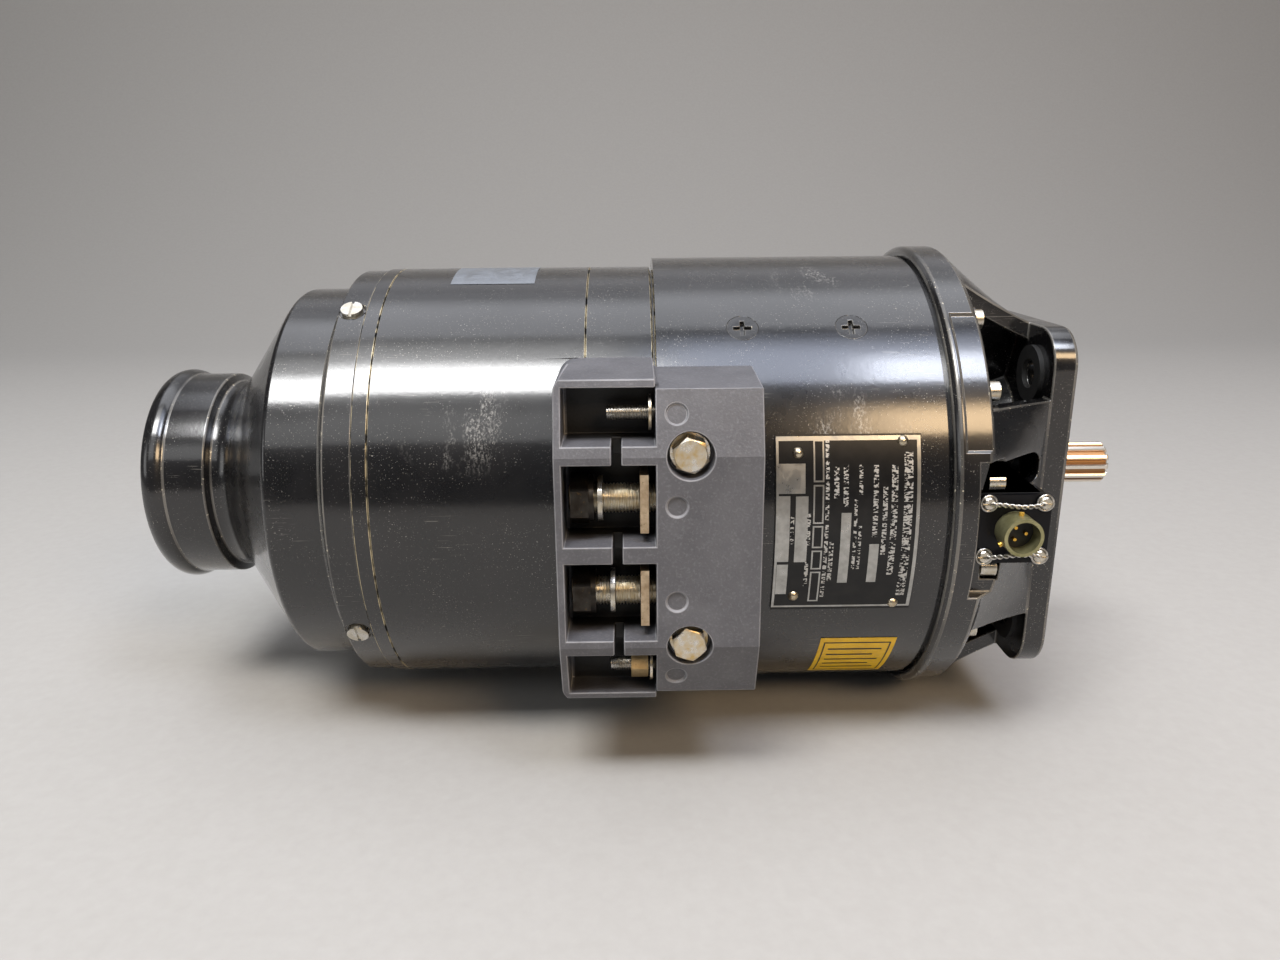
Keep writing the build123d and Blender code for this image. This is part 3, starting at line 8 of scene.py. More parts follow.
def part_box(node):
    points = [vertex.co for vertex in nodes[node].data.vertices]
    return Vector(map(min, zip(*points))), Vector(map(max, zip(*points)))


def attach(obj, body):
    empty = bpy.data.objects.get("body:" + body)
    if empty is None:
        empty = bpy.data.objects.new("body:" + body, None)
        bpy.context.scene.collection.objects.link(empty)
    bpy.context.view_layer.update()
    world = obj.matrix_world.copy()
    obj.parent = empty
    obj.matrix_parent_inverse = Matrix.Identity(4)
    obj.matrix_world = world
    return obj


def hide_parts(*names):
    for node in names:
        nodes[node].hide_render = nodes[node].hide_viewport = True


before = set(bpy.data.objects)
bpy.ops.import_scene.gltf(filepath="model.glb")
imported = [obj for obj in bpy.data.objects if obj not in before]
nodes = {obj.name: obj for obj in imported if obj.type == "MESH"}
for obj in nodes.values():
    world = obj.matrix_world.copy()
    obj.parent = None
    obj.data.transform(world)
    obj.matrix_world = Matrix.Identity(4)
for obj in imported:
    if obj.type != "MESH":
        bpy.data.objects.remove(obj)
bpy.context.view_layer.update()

MM = 0.001


# Floor, backdrop and camera.
# The machine lies on a plain pale sheet that sweeps up behind it. The camera stands in front of the
# terminal block and looks a little down on it, as the photograph does.
def linear(code):
    """Linear colour of an sRGB hex value."""
    parts = [int(code[k:k + 2], 16) / 255 for k in (1, 3, 5)]
    return tuple(c / 12.92 if c <= 0.04045 else ((c + 0.055) / 1.055) ** 2.4 for c in parts) + (1.0,)


def add(tree, kind, inputs=None, **settings):
    """Adds a node with its settings; an input takes a value, an output, or a node for its first output."""
    made = tree.nodes.new(kind)
    for name, value in settings.items():
        setattr(made, name, value)
    for socket, value in (inputs or {}).items():
        if isinstance(value, bpy.types.Node):
            value = value.outputs[0]
        if isinstance(value, bpy.types.NodeSocket):
            tree.links.new(value, made.inputs[socket])
        else:
            made.inputs[socket].default_value = value
    return made


def finish(name, colour, roughness, metallic=0.0):
    """New material with its tree, its shader and the object coordinates in metres."""
    made = bpy.data.materials.new(name)
    made.use_nodes = True
    tree = made.node_tree
    shader = tree.nodes["Principled BSDF"]
    shader.inputs["Base Color"].default_value = linear(colour)
    shader.inputs["Roughness"].default_value = roughness
    shader.inputs["Metallic"].default_value = metallic
    place = add(tree, "ShaderNodeTexCoord").outputs["Object"]
    return made, tree, shader, place


def painted(tree, shader, base, *layers):
    """Base colour with more colours over it; a layer's factors multiply to the share that it covers."""
    shade = linear(base)
    for colour, *factors in layers:
        cover = factors[0]
        for factor in factors[1:]:
            cover = add(tree, "ShaderNodeMath", {0: cover, 1: factor}, operation="MULTIPLY")
        shade = add(tree, "ShaderNodeMixRGB", {"Fac": cover, "Color1": shade, "Color2": linear(colour)})
    tree.links.new(shade.outputs["Color"], shader.inputs["Base Color"])


def new_piece(name, mesh, body="housing"):
    """Puts a finished mesh in the scene and lets it ride on a body."""
    made = bpy.data.objects.new(name, mesh)
    bpy.context.scene.collection.objects.link(made)
    if body:
        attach(made, body)
    return made


floor_level = -86.2 * MM
sheet_front, sheet_top, sheet_half_width = -4.0, 4.0, 4.0
sweep_start, sweep_radius, sweep_steps = 0.9, 0.9, 24
profile = [(sheet_front, floor_level), (sweep_start, floor_level)]
for step in range(1, sweep_steps + 1):
    turn = radians(90 * step / sweep_steps)
    profile.append((sweep_start + sweep_radius * sin(turn), floor_level + sweep_radius * (1 - cos(turn))))
profile.append((profile[-1][0], sheet_top))
sheet = bpy.data.meshes.new("studio_sheet")
corners = [(x, y, z) for y, z in profile for x in (-sheet_half_width, sheet_half_width)]
sheet.from_pydata(corners, [], [(2 * k, 2 * k + 1, 2 * k + 3, 2 * k + 2) for k in range(len(profile) - 1)])
sheet.polygons.foreach_set("use_smooth", [True] * len(sheet.polygons))
studio = new_piece("studio_sheet", sheet, body=None)
# matt paper: no gloss, so the floor shows only the soft shadow; its mottle is drawn coarser than real
paper, tree, shader, place = finish("matt_backdrop_paper", "#A19F9C", 0.9)
grain = add(tree, "ShaderNodeTexNoise", {"Vector": place, "Scale": 1 / (4 * MM), "Detail": 3.0})
painted(tree, shader, "#9D9B97", ("#A5A3A0", grain))
sheet.materials.append(paper)

# place, aim and lens come from the casing's edges in the photograph, which are circles about the shaft
camera_place = (-0.1482, -0.3690, 0.1035)
forward = Vector((0.0092, 0.9591, -0.2833)).normalized()
upward = Vector((0.0116, 0.2832, 0.9591))
sideways = forward.cross(upward).normalized()
upward = sideways.cross(forward)
camera = bpy.data.objects.new("camera", bpy.data.cameras.new("camera"))
bpy.context.scene.collection.objects.link(camera)
camera.data.sensor_width = 36.0
camera.data.lens = 26.58
camera.data.clip_start = 0.01
camera.matrix_world = Matrix.Translation(camera_place) @ Matrix(
    (sideways, upward, -forward)).transposed().to_4x4()
bpy.context.scene.camera = camera


# Studio light.
# Wide soft boxes stand over and in front of the machine, in a room of dim grey. Each one fades towards
# its sides, so that its reflection in the enamel has soft ends.
bpy.context.scene.view_settings.view_transform = "Standard"
room = bpy.data.worlds.new("studio_room")
room.use_nodes = True
room.node_tree.nodes["Background"].inputs["Color"].default_value = linear("#C3C4C8")
# the room lights the machine dimly, and past the sheet's edges the camera sees it as pale as the floor
seen = add(room.node_tree, "ShaderNodeLightPath").outputs["Is Camera Ray"]
level = add(room.node_tree, "ShaderNodeMapRange", {"Value": seen, "To Min": 0.16, "To Max": 1.0})
room.node_tree.links.new(level.outputs["Result"], room.node_tree.nodes["Background"].inputs["Strength"])
bpy.context.scene.world = room


def soft_box(name, turn, left, right, distance, width, radiance, colour):
    """Area lamp along the shaft, turned about it from the front towards the top; it fades towards its sides."""
    lamp = bpy.data.lights.new(name, "AREA")
    lamp.shape = "RECTANGLE"
    lamp.size, lamp.size_y = right - left, width
    lamp.color = linear(colour)[:3]
    lamp.energy = radiance * (right - left) * width * pi
    lamp.use_nodes = True
    glow = lamp.node_tree
    at = add(glow, "ShaderNodeSeparateXYZ", {"Vector": add(glow, "ShaderNodeTexCoord").outputs["UV"]}).outputs
    strength = 1.0
    # short fades at the ends and the lower side, and a long one over the upper half
    for axis, start, end in (("X", 0.0, 0.2), ("X", 1.0, 0.8), ("Y", 0.0, 0.1), ("Y", 1.0, 0.5)):
        edge = add(glow, "ShaderNodeMapRange", {"Value": at[axis], "From Min": start, "From Max": end},
                   interpolation_type="SMOOTHSTEP")
        strength = add(glow, "ShaderNodeMath", {0: strength, 1: edge}, operation="MULTIPLY")
    glow.links.new(strength.outputs["Value"], glow.nodes["Emission"].inputs["Strength"])
    made = bpy.data.objects.new(name, lamp)
    bpy.context.scene.collection.objects.link(made)
    away = Vector((0, -cos(radians(turn)), sin(radians(turn))))
    along = Vector((1, 0, 0))
    made.matrix_world = Matrix.Translation(away * distance + along * (left + right) / 2) @ Matrix(
        (along, away.cross(along), away)).transposed().to_4x4()


# each one: degrees up from the front, left and right end, distance and width in metres, radiance, colour
# the overhead pair draws the bright band along the enamel, whitest along its lower edge
soft_box("overhead_strip", 76, -1.02, -0.06, 1.6, 0.95, 3.6, "#FFFFFF")
soft_box("overhead_core", 65, -1.02, -0.04, 1.55, 0.58, 22.0, "#FFFFFF")
# a cool pair carries the band on over the yoke and the rim, and a small warm card gives the tan patch
soft_box("cool_strip", 72, -0.20, 0.74, 1.6, 0.96, 5.4, "#DFE8FF")
soft_box("rim_card", 66, 0.24, 0.78, 1.55, 0.54, 15.0, "#EEF3FF")
soft_box("warm_card", 39, 0.20, 1.15, 1.6, 0.54, 15.0, "#FFDCAE")
# dim ones light the top, the front, the back and the inlet's cone
soft_box("pale_ceiling", 108, -1.4, 1.2, 1.9, 1.4, 2.4, "#F6F8FF")
soft_box("low_front_card", 40, -1.5, 0.0, 1.8, 0.75, 1.5, "#FFFFFF")
soft_box("back_fill", 136, -1.3, 1.1, 1.7, 0.9, 0.55, "#F4F6FF")
soft_box("inlet_card", 35, -2.6, -1.1, 0.9, 0.9, 1.6, "#FFFFFF")


# Painted casing: inlet cover, commutator end frame, brush cover band, yoke and drive end frame.
# Cast and turned aluminium and a steel tube, all sprayed with black gloss enamel after machining and
# screwed together. The paint has dust and fine scratches; along edges it is worn to metal and painted paler as a
# highlight.
def blotches(tree, place, size_mm, low, high, stretch=(1.0, 1.0, 1.0), detail=4.0):
    """Factor from 0 to 1 for patches of about a given size, from a noise between two levels."""
    turned = add(tree, "ShaderNodeMapping", {"Vector": place, "Scale": stretch})
    noise = add(tree, "ShaderNodeTexNoise", {"Vector": turned.outputs["Vector"], "Scale": 1 / (size_mm * MM),
                                             "Detail": detail, "Roughness": 0.6})
    return add(tree, "ShaderNodeMapRange", {"Value": noise.outputs["Fac"], "From Min": low, "From Max": high}
               ).outputs["Result"]


def spot(tree, place, centre, radius_mm):
    """Factor that is 1 at a place on the surface and fades out at a radius."""
    gap = add(tree, "ShaderNodeVectorMath", {0: place, 1: centre}, operation="DISTANCE")
    return add(tree, "ShaderNodeMapRange", {"Value": gap.outputs["Value"], "From Min": radius_mm * MM,
                                            "From Max": radius_mm * 0.4 * MM}).outputs["Result"]


def enamel(name, wear, scuffs=(), tones=("#0A0A0B", "#161516")):
    """Black gloss enamel: a wet-looking skin over a duller film, with dust, hair scratches and rubbed places."""
    made, tree, shader, place = finish(name, "#0B0B0C", 0.3)
    # the skin mirrors the lamps with soft ends, and the film under it adds a wide faint glow
    shader.inputs["IOR"].default_value = 1.32
    shader.inputs["Coat Weight"].default_value = 1.0
    shader.inputs["Coat Roughness"].default_value = 0.12
    shader.inputs["Coat IOR"].default_value = 1.56
    cloud = blotches(tree, place, 38.0, 0.35, 0.7, detail=2.0)
    # specks of dust and hair scratches, drawn coarser than real so that they show
    specks = blotches(tree, place, 0.42, 0.70, 0.73, detail=1.0)
    dust = add(tree, "ShaderNodeMath", {0: specks, 1: blotches(tree, place, 21.0, 0.36, 0.62)}, operation="MULTIPLY")
    hairs = blotches(tree, place, 0.30, 0.745, 0.77, (0.03, 1.0, 1.0), 0.0)
    layers = [(tones[1], cloud), ("#A09D96", dust, 0.8),
              ("#8E8B84", hairs, blotches(tree, place, 34.0, 0.57, 0.63), 0.3)]
    rubbed = blotches(tree, place, 17.0, 0.45, 0.75)
    for centre, radius_mm in scuffs:
        near = spot(tree, place, centre, radius_mm)
        layers.append(("#A9A7A2", near, blotches(tree, place, 0.7, 0.48, 0.66, (1.0, 0.6, 0.6), 6.0),
                       blotches(tree, place, 8.0, 0.49, 0.62, (1.0, 0.4, 0.4), 6.0), 0.6))
        rubbed = add(tree, "ShaderNodeMath", {0: rubbed, 1: near}, operation="MAXIMUM")
    layers.append(("#B3AB98", blotches(tree, place, 1.5, wear, wear + 0.03, detail=5.0)))
    painted(tree, shader, tones[0], *layers)
    rough = add(tree, "ShaderNodeMapRange", {"Value": rubbed, "To Min": 0.26, "To Max": 0.42}).outputs["Result"]
    tree.links.new(rough, shader.inputs["Roughness"])
    ripple = add(tree, "ShaderNodeTexNoise", {"Vector": place, "Scale": 1 / (1.8 * MM), "Detail": 2.0})
    relief = add(tree, "ShaderNodeMath", {0: ripple, 1: dust}, operation="ADD")
    bump = add(tree, "ShaderNodeBump", {"Strength": 0.12, "Distance": 0.12 * MM, "Height": relief})
    tree.links.new(bump.outputs["Normal"], shader.inputs["Normal"])
    tree.links.new(bump.outputs["Normal"], shader.inputs["Coat Normal"])
    return made


# deep black that mirrors the lamps
gloss_enamel = enamel("black_gloss_enamel", 0.80)
# the same with pale rubbed patches, which lie where the photograph shows them (centre in metres, radius in mm)
band_scuffs = [((-0.205, -0.0700, 0.037), 22), ((-0.226, -0.066, 0.043), 10)]
yoke_scuffs = [((-0.085, -0.030, 0.077), 16), ((-0.081, -0.0745, 0.036), 13), ((-0.066, -0.077, 0.031), 9)]
band_enamel = enamel("black_gloss_enamel_scuffed", 0.80, band_scuffs)
yoke_enamel = enamel("black_gloss_enamel_yoke", 0.79, yoke_scuffs)
# paint on an edge, thin and polished grey by handling so the metal shows in places, and paler as a painted highlight
edge_enamel_wear_and_highlight = enamel("black_enamel_edge_wear_and_highlight", 0.64, tones=("#232221", "#6B6862"))
# a cut edge rubbed through to the alloy, pale and slightly gold where the old primer stays
bare_edge, tree, shader, place = finish("rubbed_through_edge", "#9B917B", 0.36, 0.8)
painted(tree, shader, "#171614", ("#C9BC9C", blotches(tree, place, 6.0, 0.40, 0.56, detail=5.0)))


def true_round(mesh, turned_to, flat_from):
    """Exact shading normals: round on faces turned about the shaft, as far as a station, and flat on large ones."""
    # how far a turned face's normal may point round the shaft, and the angle past which an edge stays sharp
    sideways_share, crease = 0.2, radians(50)
    normals = [Vector(corner.vector) for corner in mesh.corner_normals]
    tilts = {}
    turned = []
    for face in mesh.polygons:
        out = Vector((0, face.center.y, face.center.z)).normalized()
        if face.center.x > turned_to or abs(face.normal.dot(out.cross(Vector((1, 0, 0))))) > sideways_share:
            if face.area > flat_from * MM * MM:
                for corner in face.loop_indices:
                    normals[corner] = face.normal.copy()
            continue
        tilt = atan2(face.normal.x, face.normal.dot(out))
        turned.append((face, tilt))
        for number in face.vertices:
            tilts.setdefault(number, []).append((tilt, face.area))
    for face, tilt in turned:
        for corner in face.loop_indices:
            number = mesh.loops[corner].vertex_index
            near = [((other - tilt + pi) % tau - pi, area) for other, area in tilts[number]]
            near = [(turn, area) for turn, area in near if abs(turn) < crease]
            lean = tilt + sum(turn * area for turn, area in near) / sum(area for turn, area in near)
            place = mesh.vertices[number].co
            out = Vector((0, place.y, place.z)).normalized()
            normals[corner] = Vector((sin(lean), 0, 0)) + out * cos(lean)
    mesh.normals_split_custom_set(normals)


def eased(node, width_mm, body_finish, edge_finish, angle=28, turned_to=1.0, flat_from=1e6):
    """Copy of a CAD node with small rounded edges in their own finish: worn, and some painted paler as a highlight."""
    weld_gap, flat_within = 0.02 * MM, radians(0.6)
    mesh = nodes[node].data.copy()
    shape = bmesh.new()
    shape.from_mesh(mesh)
    bmesh.ops.remove_doubles(shape, verts=shape.verts, dist=weld_gap)
    bmesh.ops.dissolve_limit(shape, angle_limit=flat_within, verts=shape.verts, edges=shape.edges)
    shape.to_mesh(mesh)
    shape.free()
    mesh.materials.clear()
    mesh.materials.append(body_finish)
    mesh.materials.append(edge_finish)
    mesh.polygons.foreach_set("use_smooth", [True] * len(mesh.polygons))
    made = bpy.data.objects.new(node + "_finished", mesh)
    bpy.context.scene.collection.objects.link(made)
    if width_mm:
        bevel = made.modifiers.new("rounded_edges", "BEVEL")
        bevel.width = width_mm * MM
        bevel.segments = 2
        bevel.limit_method = "ANGLE"
        bevel.angle_limit = radians(angle)
        bevel.material = 1
        bevel.use_clamp_overlap = False
    weighted = made.modifiers.new("even_shading", "WEIGHTED_NORMAL")
    weighted.mode = "FACE_AREA"
    weighted.weight = 50
    made.data = bpy.data.meshes.new_from_object(made.evaluated_get(bpy.context.evaluated_depsgraph_get()))
    made.modifiers.clear()
    true_round(made.data, turned_to, flat_from)
    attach(made, "housing")
    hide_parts(node)


def dress(material, *names):
    """Gives CAD nodes their finish."""
    for name in names:
        nodes[name].data.materials.clear()
        nodes[name].data.materials.append(material)


eased("inlet_cover", 0.5, gloss_enamel, edge_enamel_wear_and_highlight, angle=24)
eased("commutator_end_frame", 0.3, gloss_enamel, bare_edge)
eased("brush_cover_band", 0.22, band_enamel, bare_edge)
eased("stator_yoke", 0, yoke_enamel, edge_enamel_wear_and_highlight)
eased("drive_end_frame", 0.6, gloss_enamel, edge_enamel_wear_and_highlight, turned_to=-0.0325)
eased("pole_screws", 0.25, gloss_enamel, edge_enamel_wear_and_highlight, turned_to=-1.0)
eased("interpole_screws", 0.2, gloss_enamel, edge_enamel_wear_and_highlight, turned_to=-1.0)


# Terminal block.
# One moulding in mineral-filled phenolic, dull charcoal, its edges paler from handling and from a painted highlight.
# Two hexagon bolts hold it on the yoke.
def within(tree, place, low_mm, high_mm, soft_mm):
    """Factor that is 1 inside a box and fades out at its sides."""
    at = add(tree, "ShaderNodeSeparateXYZ", {"Vector": place}).outputs
    factor = 1.0
    for axis, low, high, soft in zip("XYZ", low_mm, high_mm, soft_mm):
        off = add(tree, "ShaderNodeMath", {0: at[axis], 1: (low + high) / 2 * MM}, operation="SUBTRACT")
        size = add(tree, "ShaderNodeMath", {0: off}, operation="ABSOLUTE")
        share = add(tree, "ShaderNodeMapRange", {"Value": size, "From Min": (high - low) / 2 * MM,
                                                 "From Max": ((high - low) / 2 - soft) * MM})
        factor = add(tree, "ShaderNodeMath", {0: factor, 1: share}, operation="MULTIPLY")
    return factor


def moulding(name, base, pale, wear):
    """Matt thermoset: charcoal, slightly cloudy, with a fine grain, and painted shade, near black, deep in the wells.
    """
    made, tree, shader, place = finish(name, base, 0.62)
    # the last layer is painted shade: near black deep inside the wells
    painted(tree, shader, base, (pale, blotches(tree, place, 14.0, 0.35, 0.7)),
            ("#737377", blotches(tree, place, 0.9, 0.52, 0.72, detail=6.0), 0.5),
            ("#8C8A8C", blotches(tree, place, 2.4, wear, wear + 0.16, detail=6.0)),
            ("#0B0A0A", within(tree, place, *well_shade_box, (0.3, 5.0, 0.3))))
    rough = blotches(tree, place, 9.0, 0.2, 0.9)
    rough = add(tree, "ShaderNodeMapRange", {"Value": rough, "To Min": 0.46, "To Max": 0.66}).outputs["Result"]
    tree.links.new(rough, shader.inputs["Roughness"])
    # the filler's grain, drawn coarser than real so that it shows
    grain = add(tree, "ShaderNodeTexNoise", {"Vector": place, "Scale": 1 / (0.8 * MM), "Detail": 3.0})
    bump = add(tree, "ShaderNodeBump", {"Strength": 0.8, "Distance": 0.14 * MM, "Height": grain})
    tree.links.new(bump.outputs["Normal"], shader.inputs["Normal"])
    return made


# the wells' inner box, where painted shade darkens the moulding, from the block's own box and its wall, in mm
block_low, block_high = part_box("terminal_block")
tray_wall = 3.2
well_shade_box = ((block_low.x / MM + tray_wall, block_low.y / MM + 8.0, block_low.z / MM + tray_wall + 1.0),
            (block_low.x / MM + 32.0, -60.0, block_high.z / MM - tray_wall - 1.0))
# dull charcoal with a soft sheen on its faces; along its edges a paler line, partly wear, partly painted highlight
phenolic = moulding("charcoal_phenolic", "#4E4E52", "#5A5A5E", 0.74)
phenolic_edge_wear_and_highlight = moulding("charcoal_phenolic_edge_wear_and_highlight", "#6E6E71", "#8B8B8E", 0.60)
eased("terminal_block", 0.4, phenolic, phenolic_edge_wear_and_highlight, turned_to=-1.0, flat_from=6.0)
dress(phenolic, "brush_carrier")


# Screws, nuts, washers and small plates.
# Turned and rolled steel, cadmium or zinc plated, with nuts of oxidised steel and brass and plates of tinned
# copper. Each screw stands in its own hole with its head on a washer or a seat.
def plated(name, base, stain, roughness, stain_level):
    """Plated or bare metal with a cloudy film, stains and faint tool marks."""
    made, tree, shader, place = finish(name, base, roughness, 1.0)
    film = blotches(tree, place, 3.2, 0.35, 0.75)
    spots = blotches(tree, place, 1.3, stain_level, stain_level + 0.12, detail=6.0)
    painted(tree, shader, base, (stain, film), ("#5B4A33", spots))
    rough = add(tree, "ShaderNodeMapRange", {"Value": film, "To Min": roughness * 0.75, "To Max": roughness * 1.3})
    tree.links.new(rough.outputs["Result"], shader.inputs["Roughness"])
    # marks of the tool, drawn coarser than real so that they show
    scratch = add(tree, "ShaderNodeTexNoise", {"Vector": place, "Scale": 1 / (0.5 * MM), "Detail": 2.0})
    bump = add(tree, "ShaderNodeBump", {"Strength": 0.1, "Distance": 0.05 * MM, "Height": scratch})
    tree.links.new(bump.outputs["Normal"], shader.inputs["Normal"])
    return made


# soft silver with a yellow cast that gathers in patches
zinc = plated("zinc_plated_steel", "#D8D5CD", "#C9A75C", 0.32, 0.66)
# cleaner silver, so the slots and heads stand out on the black paint
bright_screw = plated("plated_screw_steel", "#D2CFC8", "#B9AE94", 0.30, 0.70)
# dark brown-grey with small glints
dark_steel = plated("oxidised_steel", "#3E3B37", "#2C2621", 0.40, 0.60)
# muted yellow with brown clouds
brass = plated("dull_brass", "#BFA67A", "#9C8560", 0.38, 0.64)
# pinkish tan without a clear shine
tarnished = plated("tarnished_tinned_copper", "#D3BFA2", "#A58F74", 0.46, 0.62)
dress(zinc, "block_bolts", "block_bolt_washers", "small_terminal_washers")
dress(bright_screw, "frame_screws", "cover_screws", "band_screw", "connector_screws", "flat_washers")
dress(dark_steel, "terminal_nuts", "spring_washers", "fan_nut", "drive_end_locknut", "drive_shaft_nut",
      "bearing_retainer")
dress(brass, "small_terminal_nut", "damper_plate", "brush_holders")
dress(tarnished, "terminal_plates")


# Terminal studs.
# Turned studs moulded into the block, with a rolled thread to the tip. The large ones are plated
# bronze, the small ones plated steel.
def thread_tree():
    """Node tree that makes a pair of threaded rods along X, one above the other."""
    tree = bpy.data.node_groups.new("threaded_rod_pair", "GeometryNodeTree")
    for name, kind in (("Length", "NodeSocketFloat"), ("Radius", "NodeSocketFloat"), ("Pitch", "NodeSocketFloat"),
                       ("Depth", "NodeSocketFloat"), ("Tip", "NodeSocketVector"), ("Step", "NodeSocketVector"),
                       ("Rings", "NodeSocketInt"), ("Finish", "NodeSocketMaterial")):
        tree.interface.new_socket(name, in_out="INPUT", socket_type=kind)
    tree.interface.new_socket("Geometry", in_out="OUTPUT", socket_type="NodeSocketGeometry")
    given = add(tree, "NodeGroupInput").outputs
    # a unit sheet is rolled up into the rod: X runs along it and Y goes round
    points_round = 33
    grid = add(tree, "GeometryNodeMeshGrid", {"Size X": 1.0, "Size Y": 1.0, "Vertices X": given["Rings"],
                                              "Vertices Y": points_round})
    at = add(tree, "ShaderNodeSeparateXYZ", {"Vector": add(tree, "GeometryNodeInputPosition")})
    along = add(tree, "ShaderNodeMath", {0: at.outputs["X"], 1: 0.5}, operation="ADD")
    around = add(tree, "ShaderNodeMath", {0: at.outputs["Y"], 1: 0.5}, operation="ADD")
    distance = add(tree, "ShaderNodeMath", {0: along, 1: given["Length"]}, operation="MULTIPLY")
    turns = add(tree, "ShaderNodeMath", {0: distance, 1: given["Pitch"]}, operation="DIVIDE")
    phase = add(tree, "ShaderNodeMath", {0: turns, 1: around}, operation="SUBTRACT")
    flank = add(tree, "ShaderNodeMath", {0: phase, 1: 0.5}, operation="PINGPONG")
    share = add(tree, "ShaderNodeMath", {0: flank, 1: 2.0}, operation="MULTIPLY")
    cut = add(tree, "ShaderNodeMath", {0: share, 1: given["Depth"]}, operation="MULTIPLY")
    radius = add(tree, "ShaderNodeMath", {0: given["Radius"], 1: cut}, operation="SUBTRACT")
    # the tip tapers, and the first and last rings shrink to a point that closes the rod
    taper = add(tree, "ShaderNodeMapRange", {"Value": distance, "From Min": 0.0, "From Max": 0.8 * MM, "To Min": 0.82})
    past_start = add(tree, "FunctionNodeCompare", {"A": along, "B": 0.0001}, data_type="FLOAT",
                     operation="GREATER_THAN")
    before_end = add(tree, "FunctionNodeCompare", {"A": along, "B": 0.9999}, data_type="FLOAT",
                     operation="LESS_THAN")
    for factor in (taper, past_start, before_end):
        radius = add(tree, "ShaderNodeMath", {0: radius, 1: factor}, operation="MULTIPLY")
    angle = add(tree, "ShaderNodeMath", {0: around, 1: tau}, operation="MULTIPLY")
    across = add(tree, "ShaderNodeMath", {0: angle}, operation="COSINE")
    height = add(tree, "ShaderNodeMath", {0: angle}, operation="SINE")
    across = add(tree, "ShaderNodeMath", {0: radius, 1: across}, operation="MULTIPLY")
    height = add(tree, "ShaderNodeMath", {0: radius, 1: height}, operation="MULTIPLY")
    where = add(tree, "ShaderNodeCombineXYZ", {"X": distance, "Y": across, "Z": height})
    bent = add(tree, "GeometryNodeSetPosition", {"Geometry": grid, "Position": where})
    closed = add(tree, "GeometryNodeMergeByDistance", {"Geometry": bent, "Distance": 0.001 * MM})
    line = add(tree, "GeometryNodeMeshLine", {"Count": 2, "Start Location": given["Tip"], "Offset": given["Step"]})
    pair = add(tree, "GeometryNodeInstanceOnPoints", {"Points": line, "Instance": closed})
    solid = add(tree, "GeometryNodeRealizeInstances", {"Geometry": pair})
    finished = add(tree, "GeometryNodeSetMaterial", {"Geometry": solid, "Material": given["Finish"]})
    add(tree, "NodeGroupOutput", {"Geometry": finished})
    return tree


def grown(name, tree, values):
    """Runs a node tree with its named inputs and keeps the result as a plain mesh."""
    made = bpy.data.objects.new(name, bpy.data.meshes.new(name))
    bpy.context.scene.collection.objects.link(made)
    modifier = made.modifiers.new(name, "NODES")
    modifier.node_group = tree
    for item in tree.interface.items_tree:
        if item.in_out == "INPUT" and item.name in values:
            modifier[item.identifier] = values[item.name]
    made.data = bpy.data.meshes.new_from_object(made.evaluated_get(bpy.context.evaluated_depsgraph_get()))
    made.modifiers.clear()
    shape = bmesh.new()
    shape.from_mesh(made.data)
    bmesh.ops.recalc_face_normals(shape, faces=shape.faces)
    shape.to_mesh(made.data)
    shape.free()
    made.data.polygons.foreach_set("use_smooth", [True] * len(made.data.polygons))
    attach(made, "housing")
    return made


# pale silver-gold crests over darker roots
bronze_thread = plated("plated_bronze_thread", "#D6D1C5", "#B9A986", 0.34, 0.76)
# greyer and darker than the large pair
steel_thread = plated("plated_steel_thread", "#B4B1AB", "#8C8577", 0.34, 0.66)
rods = thread_tree()
rings_each_turn = 8
for name, node, pitch_mm, depth_mm, metal in (("large_threads", "large_terminal_studs", 1.06, 0.62, bronze_thread),
                                              ("small_threads", "small_terminal_studs", 0.79, 0.46, steel_thread)):
    low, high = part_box(node)
    radius = (high.y - low.y) / 2
    length = high.x - low.x
    studs = grown(name, rods, {
        "Length": length, "Radius": radius, "Pitch": pitch_mm * MM, "Depth": depth_mm * MM,
        "Tip": (low.x, (low.y + high.y) / 2, low.z + radius), "Step": (0, 0, high.z - low.z - 2 * radius),
        "Rings": int(length / (pitch_mm * MM) * rings_each_turn), "Finish": metal})
    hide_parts(node)


# Electrical connector.
# Aluminium receptacle with an olive drab chromate finish, gold bayonet pins and contacts, screwed to
# a boss. Its drilled screws are lockwired in pairs with twisted stainless wire.
low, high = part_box("connector_shell")
connector_centre = ((low.x + high.x) / 2, (low.z + high.z) / 2)
flange_reach, bayonet_inner, bayonet_outer = 10.5 * MM, 6.34 * MM, 6.40 * MM
connector_face = min(corner.co.y for corner in nodes["connector_shell"].data.vertices
                     if abs(corner.co.x - connector_centre[0]) > flange_reach)
# olive that shifts between brown and grey in patches, with a low metal shine; gold where the bayonet pins
# stand out of the barrel, and near black on the flange behind it
olive, tree, shader, place = finish("olive_drab_chromate", "#6E6A45", 0.36, 0.7)
film = blotches(tree, place, 4.0, 0.3, 0.75)
middle_of_shell = (connector_centre[0], 0.0, connector_centre[1])
offset = add(tree, "ShaderNodeVectorMath", {0: place, 1: middle_of_shell}, operation="SUBTRACT")
flat = add(tree, "ShaderNodeVectorMath", {0: offset, 1: (1.0, 0.0, 1.0)}, operation="MULTIPLY")
reach = add(tree, "ShaderNodeVectorMath", {0: flat}, operation="LENGTH").outputs["Value"]
on_pin = add(tree, "ShaderNodeMapRange", {"Value": reach, "From Min": bayonet_inner, "From Max": bayonet_outer})
depth = add(tree, "ShaderNodeSeparateXYZ", {"Vector": place}).outputs["Y"]
